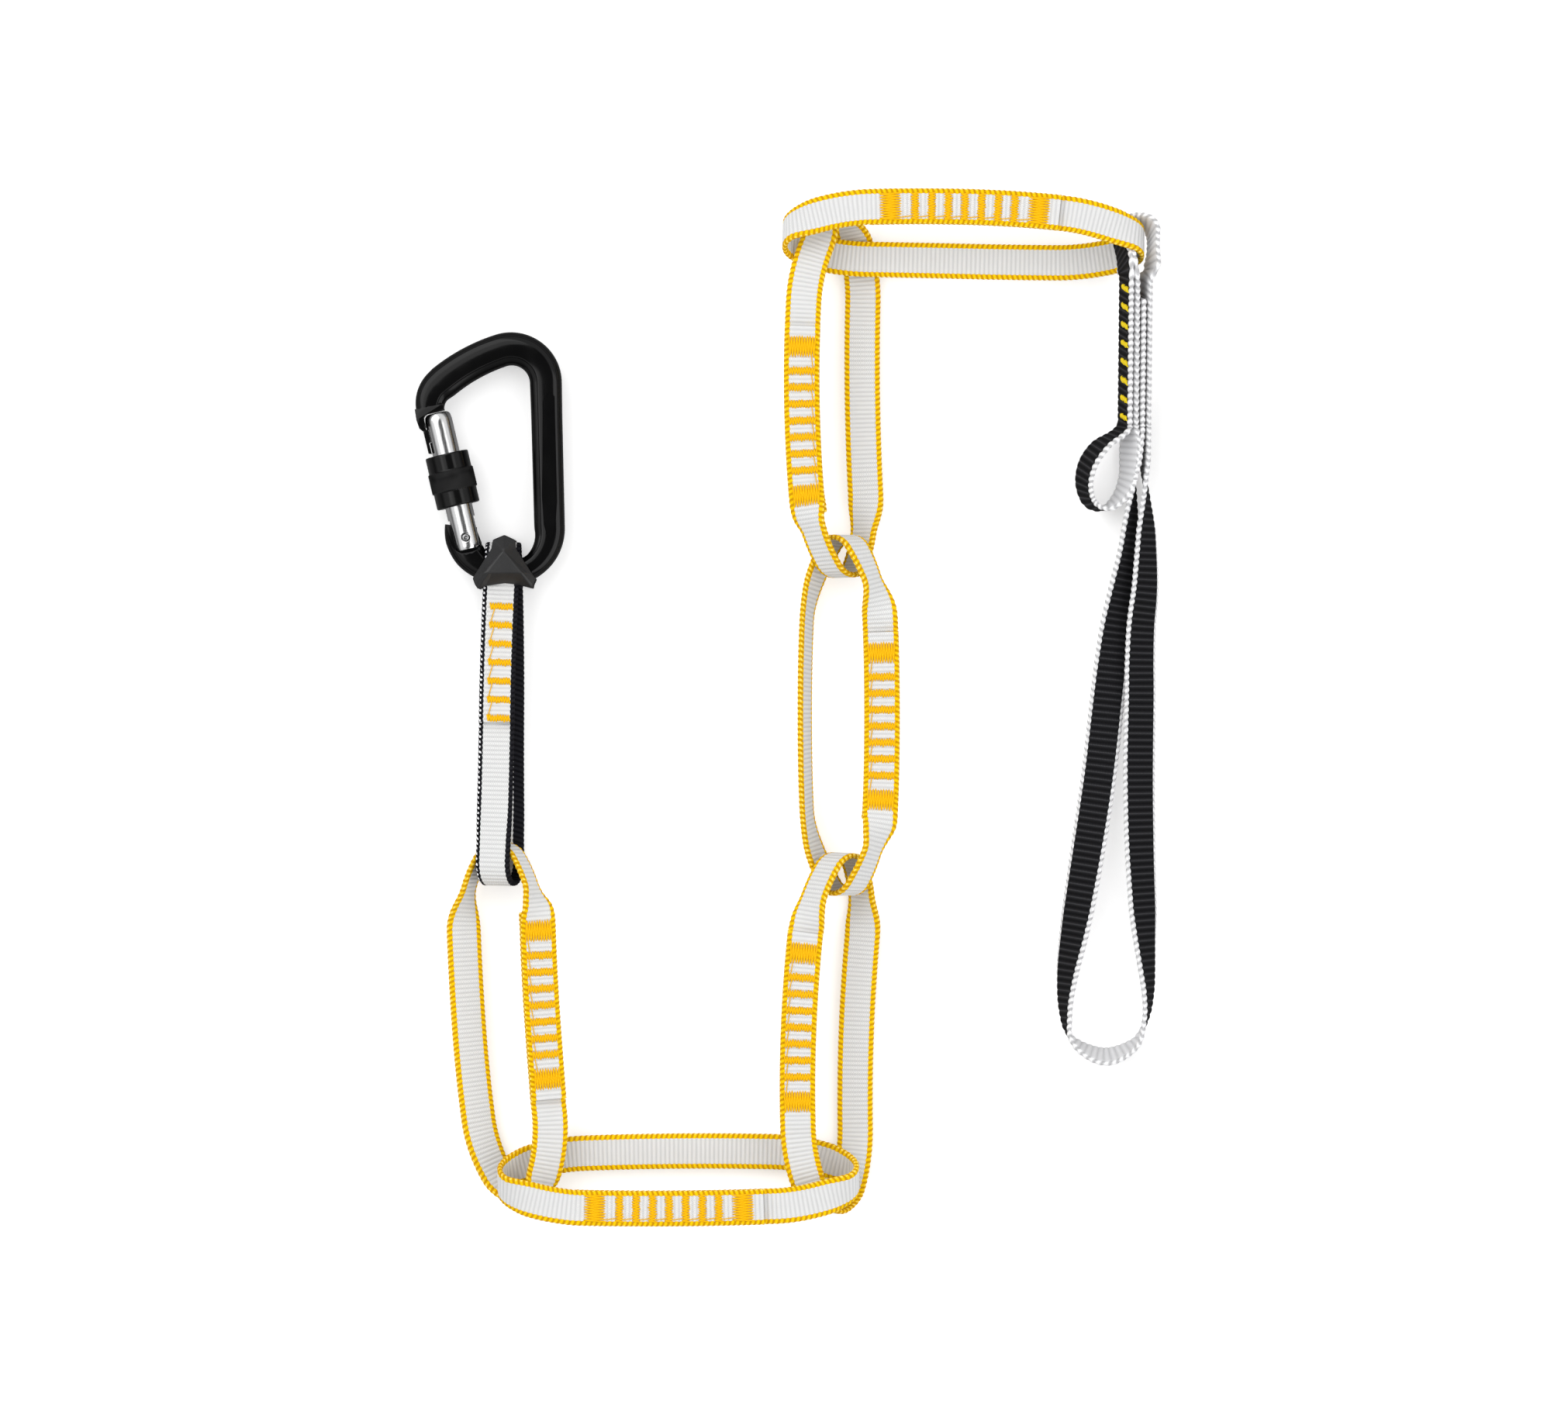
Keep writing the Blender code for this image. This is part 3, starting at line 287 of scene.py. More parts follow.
# The carabiner's sling hangs from ring 1 and goes round the basket at its other end
sling = {
    "length": 138.6 * mm,
    "overlap": 48.0 * mm,
    "seamStart": 16.7 * mm,
    "top": -6.0 * mm,
    "slack": 0.9 * mm,
    "shift": -1.6 * mm,
    "foot": 0.3 * mm,
    "headShift": 1.4 * mm,
    "tilts": (90.0, 78.0, 72.0),
    "settle": ((2.0, 12.0), linked),
    "rise": 9.5 * mm,
    "bars": 7,
    "pitch": 7.5 * mm,
    "span": 9.0 * mm,
    "barWidth": 2.6 * mm,
    "barShift": -0.7 * mm,
    "runDrift": 1.3 * mm,        # how far the thread between two bars drifts across
}

carabiner = {
    "basketRadius": 17.0 * mm,
    "topCentre": (1.6 * mm, 59.1 * mm),
    "topRadius": 13.9 * mm,
    "shoulderCentre": (-20.3 * mm, 50.0 * mm),
    "shoulderRadius": 10.9 * mm,
    "noseAngle": 193.2,
    "tangAngle": -185.0,
    "pivotAngle": -169.3,
    "halfThickness": 5.0 * mm,
    # distance along the bar, outer half width, inner half width, half thickness
    "sizes": ((0.0, 5.6, 5.6, 4.1), (14.0, 7.0, 7.0, 5.0), (37.5, 6.8, 6.8, 5.0),
              (80.0, 6.3, 6.3, 5.0), (125.0, 6.2, 6.2, 5.0), (141.0, 5.7, 4.2, 5.0),
              (159.0, 5.5, 4.2, 5.0), (169.0, 7.6, 5.2, 5.0), (176.0, 8.4, 5.0, 5.0),
              (181.0, 8.3, 4.6, 5.0)),
    "roundness": 2.8,
    "turnStep": 2.5,
    "lineStep": 2.5 * mm,
    "spanRadius": 71.5 * mm,   # the slow curve of the bar above the gate, between its two bends
}


def slingRoute(firstRing):
    barBend = carabiner["halfThickness"] + sling["slack"] + tape["thickness"] / 2
    loop = slingLoop(barBend)
    foot = Vector((firstRing.start.x + sling["foot"], firstRing.start.y - chain["linkReach"],
                   chain["slingRise"]))
    head = Vector((foot.x + sling["headShift"], foot.y + 2 * loop.half, sling["rise"]))
    return Route(loop, head, foot, (-1.0, 0.0, 0.0), sling["tilts"], sling["settle"])


print("laying out the chain")
routes = ringRoutes()
routes["sling"] = slingRoute(routes[1])
basket = routes["sling"].start - Vector((sling["shift"], sling["top"], 0.0))
pivot = polar(carabiner["pivotAngle"]) * carabiner["basketRadius"]
rivetLow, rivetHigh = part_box("rivet")
# From the layout's own place to the CAD's frame
toFrame = (rivetLow + rivetHigh) / 2 - (basket + Vector((*pivot, 0.0)))


# Shader nodes

def newGroup(name, inputs, outputs):
    group = bpy.data.node_groups.new(name, "ShaderNodeTree")
    for label, kind, value in inputs:
        socket = group.interface.new_socket(name=label, in_out="INPUT", socket_type=kind)
        if value is not None:
            socket.default_value = value
    for label, kind in outputs:
        group.interface.new_socket(name=label, in_out="OUTPUT", socket_type=kind)
    return group, group.nodes.new("NodeGroupInput"), group.nodes.new("NodeGroupOutput")


def joined(tree, socket, value):
    if isinstance(value, bpy.types.NodeSocket):
        tree.links.new(value, socket)
    else:
        socket.default_value = value


def sums(tree, operation, *values):
    node = tree.nodes.new("ShaderNodeMath")
    node.operation = operation
    for socket, value in zip(node.inputs, values):
        joined(tree, socket, value)
    return node.outputs[0]


def plus(tree, first, second):
    return sums(tree, "ADD", first, second)


def minus(tree, first, second):
    return sums(tree, "SUBTRACT", first, second)


def times(tree, first, second):
    return sums(tree, "MULTIPLY", first, second)


# Even humps from 0 to 1, so many to a turn
def humps(tree, turns, count=1):
    return sums(tree, "ABSOLUTE", sums(tree, "SINE", times(tree, turns, count * math.pi)))


def stepBetween(tree, value, low, high, outLow=0.0, outHigh=1.0):
    node = tree.nodes.new("ShaderNodeMapRange")
    node.interpolation_type = "SMOOTHSTEP"
    for label, given in (("Value", value), ("From Min", low), ("From Max", high),
                         ("To Min", outLow), ("To Max", outHigh)):
        joined(tree, node.inputs[label], given)
    return node.outputs[0]


def mixed(tree, share, first, second):
    node = tree.nodes.new("ShaderNodeMix")
    node.data_type = "RGBA"
    joined(tree, node.inputs[0], share)
    joined(tree, node.inputs[6], first)
    joined(tree, node.inputs[7], second)
    return node.outputs[2]


def noiseOf(tree, vector, scale, detail):
    node = tree.nodes.new("ShaderNodeTexNoise")
    joined(tree, node.inputs["Vector"], vector)
    joined(tree, node.inputs["Scale"], scale)
    node.inputs["Detail"].default_value = detail
    return node.outputs["Fac"]


def bumped(tree, height, strength, distance):
    node = tree.nodes.new("ShaderNodeBump")
    node.inputs["Strength"].default_value = strength
    node.inputs["Distance"].default_value = distance
    joined(tree, node.inputs["Height"], height)
    return node.outputs["Normal"]


# Woven tape from its own map: u runs along the tape in mm, v round it in mm from its outer face's
# middle. Gives masks for the edge and the inner face, the ribs, the yarns and the edge's bundles;
# the bundle mask is painted shade, darker between the bundles and their threads.
weave = {
    "inputs": {"Rib pitch": "rib", "Yarn pitch": "yarn", "Bundle pitch": "bundle",
               "Edge from": "edgeFrom", "Scallop": "scallop", "Dash line": "dashLine",
               "Dash side": "dashSide", "Inner border": "innerBorder"},
    "outputs": ("Edge", "Inner", "Rib", "Yarn", "Bundle", "Fleck", "Height"),
    "yarnLean": 1.7,
    "bundleSlant": 0.16,
    "borderBlur": 0.06,
    "dashWander": 1.6,
    "dashGrain": 0.9,
    "dashBlur": (0.28, 0.42),
    "dashSpot": (0.72, 0.86),
    "yarnHeight": 0.55,
    "threadHeight": 0.3,
    # how much darker the edge is between its threads and between its bundles: painted shade
    "threadShade": 0.4,
    "bundleShade": (0.3, 0.75),
}


def wovenTapeGroup():
    number = "NodeSocketFloat"
    group, given, out = newGroup(
        "wovenTape",
        [("Map", "NodeSocketVector", None), ("Half girth", number, 15.0),
         *[(label, number, 1.0) for label in weave["inputs"]]],
        [(label, number) for label in weave["outputs"]])
    given = given.outputs
    split = group.nodes.new("ShaderNodeSeparateXYZ")
    group.links.new(given["Map"], split.inputs[0])
    u, v = split.outputs[0], split.outputs[1]
    half = given["Half girth"]
    # 0 in the middle of the outer face, half the girth in the middle of the inner
    away = sums(group, "PINGPONG", v, half)
    fold = sums(group, "MINIMUM", away, minus(group, half, away))
    inner = sums(group, "GREATER_THAN", away, times(group, half, 0.5))
    ribs = sums(group, "DIVIDE", u, given["Rib pitch"])
    rib = humps(group, ribs)
    # yarns lean one way over half a rib and the other way over the next half
    chevron = sums(group, "PINGPONG", ribs, 0.5)
    lean = plus(group, sums(group, "DIVIDE", v, given["Yarn pitch"]),
                times(group, chevron, weave["yarnLean"]))
    yarn = plus(group, 0.5, times(group, 0.5, sums(
        group, "SINE", times(group, lean, 2 * math.pi))))
    past = minus(group, fold, given["Edge from"])
    turns = sums(group, "DIVIDE", u, given["Bundle pitch"])
    slanted = plus(group, turns, times(group, past, weave["bundleSlant"]))
    bundle = humps(group, slanted)
    threads = humps(group, slanted, 4)
    border = minus(group, given["Edge from"], times(group, given["Scallop"], humps(group, turns)))
    border = minus(group, border, times(group, given["Inner border"], inner))
    edge = stepBetween(group, fold, minus(group, border, weave["borderBlur"]),
                       plus(group, border, weave["borderBlur"]))
    # a row of short pale dashes, one to a bundle and some of them missing
    specks = noiseOf(group, given["Map"], weave["dashGrain"], 1.0)
    row = sums(group, "ABSOLUTE", minus(group, fold, given["Dash line"]))
    wander = times(group, minus(group, specks, 0.5), weave["dashWander"])
    near = stepBetween(group, plus(group, row, wander), *weave["dashBlur"], 1.0, 0.0)
    fleck = times(group, near, stepBetween(group, bundle, *weave["dashSpot"]))
    dashed = sums(group, "GREATER_THAN", times(group, v, given["Dash side"]), -0.5)
    fleck = times(group, fleck, dashed)
    webHeight = plus(group, rib, times(group, yarn, weave["yarnHeight"]))
    edgeHeight = plus(group, bundle, times(group, threads, weave["threadHeight"]))
    height = plus(group, times(group, webHeight, minus(group, 1.0, edge)),
                  times(group, edgeHeight, edge))
    # the edge's colour mask, darker between the bundles and between their threads: painted shade
    edgeShading = plus(group, 1 - weave["threadShade"], times(group, threads, weave["threadShade"]))
    edgeShading = stepBetween(group, times(group, bundle, edgeShading), *weave["bundleShade"])
    for label, value in zip(weave["outputs"], (edge, inner, rib, yarn, edgeShading, fleck, height)):
        group.links.new(value, out.inputs[label])
    return group


# Fine moulded or cast grain on Object coordinates, with a slow change of tone
def surfaceGrainGroup():
    group, given, out = newGroup(
        "surfaceGrain",
        [("Place", "NodeSocketVector", None), ("Grain", "NodeSocketFloat", 2500.0)],
        [("Fine", "NodeSocketFloat"), ("Slow", "NodeSocketFloat")])
    where = given.outputs["Place"]
    group.links.new(noiseOf(group, where, given.outputs["Grain"], 3.0), out.inputs["Fine"])
    group.links.new(noiseOf(group, where, 90.0, 3.0), out.inputs["Slow"])
    return group


wovenTape = wovenTapeGroup()
surfaceGrain = surfaceGrainGroup()


def newMaterial(name, values):
    made = bpy.data.materials.new(name)
    made.use_nodes = True
    tree = made.node_tree
    shader = tree.nodes["Principled BSDF"].inputs
    for label, value in values.items():
        shader[label].default_value = value
    return made, tree, shader


def objectPlace(tree):
    return tree.nodes.new("ShaderNodeTexCoord").outputs["Object"]


def ownMap(tree):
    where = tree.nodes.new("ShaderNodeUVMap")
    where.uv_map = "UVMap"
    return where.outputs["UV"]


def tapeMaterial(name, look):
    made, tree, shader = newMaterial(name, {"Roughness": look["roughness"],
                                            "Specular IOR Level": look["specular"]})
    node = tree.nodes.new("ShaderNodeGroup")
    node.node_tree = wovenTape
    tree.links.new(ownMap(tree), node.inputs["Map"])
    for label, key in weave["inputs"].items():
        node.inputs[label].default_value = look[key]
    node.inputs["Half girth"].default_value = girthOf(look)[-1] / 2 / mm
    masks = node.outputs
    # darker grooves between the ribs and darker gaps between the yarns: painted shade
    gap = times(tree, minus(tree, 1.0, masks["Yarn"]), look["yarnGapShade"])
    swell = sums(tree, "POWER", masks["Rib"], look["swell"])
    outer = mixed(tree, gap, mixed(tree, swell, *look["outer"][:2]), look["outer"][2])
    inner = mixed(tree, gap, mixed(tree, masks["Rib"], *look["inner"][:2]), look["inner"][2])
    web = mixed(tree, masks["Inner"], outer, inner)
    # the edge darker between its bundles as painted shade, with pale dashes of yarn
    edge = mixed(tree, masks["Bundle"], *look["edge"][:2])
    edge = mixed(tree, times(tree, masks["Fleck"], look["fleck"]), edge, look["edge"][2])
    tree.links.new(mixed(tree, masks["Edge"], web, edge), shader["Base Color"])
    tree.links.new(bumped(tree, masks["Height"], look["relief"], 0.2 * mm), shader["Normal"])
    return made


def grey(level, blue=None):
    return level, level, level if blue is None else blue, 1


# Tape pieces

# The tape's section, anticlockwise seen along the tape from the middle of its inner face:
# place across, height, and how much the ribs and the edge's bundles move that point
def tapeSection(look):
    web = [look["webEdge"] * share for share in tape["webShares"]]
    turns = tape["edgeTurns"]
    centre = tape["width"] / 2 - tape["edgeRadius"]
    points = [(v, -1.0, 0.0) for v in web]
    points += [(centre, t, 1.0) for t in turns]
    points += [(v, 1.0, 0.0) for v in reversed(web)]
    points += [(-v, 1.0, 0.0) for v in web[1:]]
    points += [(-centre, 180.0 - t, 1.0) for t in reversed(turns)]
    points += [(-v, -1.0, 0.0) for v in reversed(web[1:])]
    return points + [points[0]]


def sectionPoint(entry, u, look):
    v, turn, isEdge = entry
    if isEdge:
        swell = abs(math.sin(math.pi * u / (look["bundle"] * mm)))
        radius = tape["edgeRadius"] - look["bundleDepth"] * (1.0 - swell)
        out = polar(turn) * radius
        return v + out.x, out.y
    swell = abs(math.sin(math.pi * u / (look["rib"] * mm))) ** tape["ribShape"]
    return v, turn * (tape["webHalf"] + look["ribHeight"] * swell)


# How far along a line each of its points is
def marksAlong(points):
    marks = [0.0]
    for first, second in zip(points, points[1:]):
        marks.append(marks[-1] + (second - first).length)
    return marks


def girthOf(look):
    middle = 0.5 * look["rib"] * mm
    return marksAlong([Vector(sectionPoint(entry, middle, look)) for entry in tapeSection(look)])


# Adds a grid rolled up into a tube and closed at both ends. The point at step i and side j lies
# at placeAt(i, j) and has mapAt(i, j) on its map.
def addTube(bm, steps, sides, placeAt, uvs=None, mapAt=None):
    grown = bmesh.ops.create_grid(bm, x_segments=steps, y_segments=sides, size=0.5)["verts"]
    spots = {v: (round((v.co.x + 0.5) * steps), round((v.co.y + 0.5) * sides)) for v in grown}
    if mapAt:
        for face in {f for v in grown for f in v.link_faces}:
            for corner in face.loops:
                corner[uvs].uv = mapAt(*spots[corner.vert])
    for vert, spot in spots.items():
        vert.co = placeAt(*spot)
    seam = [v for v in grown if spots[v][1] in (0, sides)]
    bmesh.ops.remove_doubles(bm, verts=seam, dist=0.001 * mm)
    bmesh.ops.holes_fill(bm, edges=[e for e in bm.edges if e.is_boundary], sides=0)


def tapePiece(name, route, look, finish):
    entries, girth, length = tapeSection(look), girthOf(look), route.length
    steps = math.ceil(length / look["step"])
    frames = [route.frameAt(length * i / steps) for i in range(steps + 1)]

    def placeAt(i, j):
        v, h = sectionPoint(entries[j], length * i / steps, look)
        point, across, normal = frames[i]
        return point + toFrame + across * v + normal * h

    def mapAt(i, j):
        return length * i / steps / mm, (girth[j] - girth[-1] / 2) / mm

    bm = bmesh.new()
    uvs = bm.loops.layers.uv.new("UVMap")
    addTube(bm, steps, len(entries) - 1, placeAt, uvs, mapAt)
    return addPiece(name, bm, finish, smoothAngle=60.0)


def addPiece(name, bm, finish, smoothAngle=40.0):
    bmesh.ops.recalc_face_normals(bm, faces=bm.faces)
    if bm.calc_volume(signed=True) < 0:
        bmesh.ops.reverse_faces(bm, faces=bm.faces)
    mesh = bpy.data.meshes.new(name)
    bm.to_mesh(mesh)
    bm.free()
    if finish:
        mesh.materials.append(finish)
    mesh.shade_smooth()
    mesh.set_sharp_from_angle(angle=math.radians(smoothAngle))
    obj = bpy.data.objects.new(name, mesh)
    bpy.context.scene.collection.objects.link(obj)
    return obj


ringLook = {
    "rib": 1.8, "yarn": 0.75, "bundle": 2.05, "ribHeight": 0.3 * mm, "bundleDepth": 0.24 * mm,
    "webEdge": 5.0 * mm, "edgeFrom": 5.3, "scallop": 0.3, "step": 0.4 * mm, "dashLine": 7.2,
    "dashSide": 0.0, "innerBorder": 0.0,
    # colours of groove, rib and the gap between two yarns; the darker groove and gap are painted
    # shade
    "outer": (grey(0.70), grey(0.93, 0.92), grey(0.58)),
    "inner": (grey(0.68), grey(0.93, 0.92), grey(0.56)),
    # colours of the edge's groove, bundle and dash; the darker groove is painted shade between the
    # bundles
    "edge": ((0.66, 0.31, 0.0, 1), (1.0, 0.64, 0.0, 1), (1.0, 0.86, 0.3, 1)),
    # swell shapes the painted shade of the grooves; the yarn gaps are darkened as painted shade too
    "swell": 1.0, "yarnGapShade": 0.7, "fleck": 0.6, "relief": 0.9, "roughness": 0.7, "specular": 0.1,
}
slingLook = dict(
    ringLook, edgeFrom=5.6, dashLine=6.7, fleck=1.0, dashSide=-1.0, innerBorder=2.6,
    edge=(grey(0.003, 0.005), grey(0.014, 0.018), grey(0.92, 0.94)))
harnessLook = dict(
    ringLook, rib=2.7, yarn=0.45, step=0.45 * mm, ribHeight=0.34 * mm, bundle=2.7,
    bundleDepth=0.42 * mm, edgeFrom=6.0, dashLine=6.2, swell=0.3, fleck=0.3,
    # its black face's paler grooves are grey lines in the weave; its white face's darker grooves
    # are painted shade
    outer=(grey(0.12, 0.13), grey(0.004, 0.005), grey(0.003, 0.004)),
    inner=(grey(0.68, 0.69), grey(0.92, 0.93), grey(0.66, 0.67)),
    edge=(grey(0.52, 0.53), grey(0.93, 0.94), grey(0.36, 0.37)))

print("weaving the tapes")
ringTape = tapeMaterial("ringTapeWeave", ringLook)
slingTape = tapeMaterial("slingTapeWeave", slingLook)
sewn = {}
for number in range(1, 7):
    sewn[number] = SewnLoop(routes[number], chain["overlap"], chain["seamShifts"][number])
    piece = tapePiece(f"ring_{number}_webbing", sewn[number], ringLook, ringTape)
    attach(piece, f"ring_{number}")
    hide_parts(f"ring_{number}_tape")

sewn["sling"] = SewnLoop(routes["sling"], sling["overlap"], sling["seamStart"])
piece = tapePiece("carabiner_sling_webbing", sewn["sling"], slingLook, slingTape)
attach(piece, "carabiner_sling")
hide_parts("carabiner_sling_tape")


# Harness sling

harness = {
    "topRadius": 6.9 * mm,
    "topShift": 0.5 * mm,
    "topSlope": 25.0,
    # its black face turned up before the ring's end, its white one past it
    "topTurns": (16.0, -15.0),
    "topTurnRun": 9.0 * mm,
    "topAbove": 4.3 * mm,      # the crest over the edge of ring 6's tape
    "topRaise": 0.2 * mm,
    "overShort": 4.0 * mm,
    "stackShift": -2.5 * mm,
    "stackStart": 26.0 * mm,
    "stackLength": 57.1 * mm,
    "stackSeam": 54.4 * mm,
    "stackLean": 18.0,
    "stackPitch": 2.7 * mm,    # from one layer of the stack to the next
    "stackRaise": 2.2 * mm,
    "leanFrom": 12.0 * mm,
    "leanRun": 42.0 * mm,      # below the stack, in which the loops come to lie flat
    "fallRun": 30.0 * mm,
    "innerStart": 6.0 * mm,
    "innerTurn": 180.0,        # the inner layer lies turned over and untwists down its leg
    "innerEnd": 17.0 * mm,     # how far below the crest the tape's last end stops
    "innerAside": 0.5 * mm,
    # where the tape leaves the stack for the crest and comes back to it: aside and above it
    "leaving": (2.6 * mm, 4.5 * mm),
    "turning": (-0.6 * mm, 9.0 * mm),
    "landing": (-0.5 * mm, 9.0 * mm),
    "smallWidth": 16.4 * mm,
    "smallLength": 33.9 * mm,
    "smallTurn": 18.0,
    "smallTurnRun": 10.0 * mm,
    # the small loop from the stack's face and back into it: shares of its width and length
    "smallLeave": (2.6 * mm, 0.11),
    "smallLoop": ((0.62, 0.26), (0.92, 0.47), (1.0, 0.72), (0.83, 0.94), (0.47, 1.0), (0.13, 0.88)),
    "smallReturn": ((1.2 * mm, 0.64), (0.3 * mm, 0.3)),
    "length": 340.5 * mm,
    "longPull": 20.0 * mm,     # how strongly a run sets off along the one before it
    "pull": 9.0 * mm,
    "slopeReach": 4.0 * mm,
    "rise": 7.7 * mm,
    "bars": 8,
    "pitch": 7.32 * mm,
    "span": 6.8 * mm,
    "barWidth": 1.8 * mm,
    "barShift": -2.0 * mm,
    # the long loop down its left leg and up its right: x in mm, share of the way down
    "longLoop": ((0.6, 0.055), (-0.9, 0.13), (-2.4, 0.2), (-5.0, 0.26), (-7.6, 0.32), (-9.3, 0.38),
                 (-10.7, 0.43), (-14.2, 0.554), (-18.8, 0.676), (-24.0, 0.8), (-26.9, 0.87),
                 (-27.6, 0.93), (-24.6, 0.975), (-12.0, 1.0), (0.2, 0.98), (4.6, 0.94), (5.6, 0.9),
                 (5.1, 0.86), (4.0, 0.8), (2.5, 0.676), (2.0, 0.554), (2.4, 0.43), (2.4, 0.38),
                 (2.9, 0.32), (4.4, 0.26), (4.8, 0.2), (4.8, 0.13), (4.3, 0.055)),
    # how far its black face turns up: share of the way down, left leg, right leg
    "longTwists": ((0.06, 180, 0), (0.13, 162, 18), (0.17, 151, 32), (0.23, 139, 44),
                   (0.29, 126, 54), (0.4, 101, 62), (0.525, 90, 66), (0.647, 80, 63),
                   (0.77, 62, 52), (0.82, 48, 38), (0.88, 30, 23), (0.93, 15, 10), (0.95, 9, 4),
                   (0.975, -6, -8), (1.0, -24, -24)),
}


def smoothCurve(points, leave, arrive, steps):
    first, last = Vector(points[0]) - Vector(leave), Vector(points[-1]) + Vector(arrive)
    lineUp = [first, *map(Vector, points), last]
    found = []
    for k in range(1, len(lineUp) - 2):
        before, first, second, after = lineUp[k - 1:k + 3]
        for step in range(steps):
            t = step / steps
            found.append(0.5 * (2 * first + (second - before) * t
                                + (2 * before - 5 * first + 4 * second - after) * t ** 2
                                + (3 * first - before - 3 * second + after) * t ** 3))
    return found


def straightRun(first, last, steps):
    first, last = Vector(first), Vector(last)
    return [first.lerp(last, k / steps) for k in range(steps)]


def blendOf(places, y, ease=smoothStep):
    y = max(y, places[0][0])
    for (y0, v0), (y1, v1) in zip(places, places[1:]):
        if y <= y1:
            return v0 + (v1 - v0) * ease((y - y0) / (y1 - y0))
    return places[-1][1]


# One tape from inside the stack down the long loop's left leg and up its right, round ring 6,
# down the stack's face, round the small loop and up again, in the sling's own plan: its points,
# each with the name of its run
def harnessPlan():
    h = harness
    layers = [(k - 1.5) * h["stackPitch"] for k in range(4)]
    face, back, inner, outer = layers
    start = h["stackStart"]
    down = start + h["stackLength"]
    bottom = h["length"] - tape["thickness"]
    reach, centre = h["topRadius"], h["topShift"]
    legs = [(x * mm, down + (bottom - down) * share) for x, share in h["longLoop"]]
    crown = [(centre + reach * out.x, tape["thickness"] / 2 + reach * (1 - out.y))
             for out in map(polar, range(0, 181, 20))]
    (aside, up), (near, high), (past, low) = h["leaving"], h["turning"], h["landing"]
    over = [(outer, start), (outer + aside, start - up), (centre + reach + near, start - high),
            *crown, (face + past, start - low), (face, start)]
    wide, deep = h["smallWidth"], h["smallLength"]
    aside, share = h["smallLeave"]
    small = [(face, down), (face - aside, down + share * deep),
             *[(face - x * wide, down + y * deep) for x, y in h["smallLoop"]],
             *[(back - x, down + y * deep) for x, y in h["smallReturn"]], (back, down)]
    loop = [(inner, down), *legs, (outer, down)]
    south, north = (0.0, h["pull"]), (0.0, -h["pull"])
    last = (back - h["innerAside"], h["innerEnd"])
    runs = {
        "inner": straightRun((inner, start + h["innerStart"]), (inner, down), 40),
        "long": smoothCurve(loop, (0.0, h["longPull"]), (0.0, -h["longPull"]), 16),
        "outer": straightRun((outer, down), (outer, start), 40),
        "over": smoothCurve(over, north, south, 4),
        "face": straightRun((face, start), (face, down), 40),
        "small": smoothCurve(small, south, north, 6),
        "back": straightRun((back, down), (back, start), 40),
        "end": [*straightRun((back, start), last, 8), Vector(last)],
    }
    return [(p, name) for name, run in runs.items() for p in run]


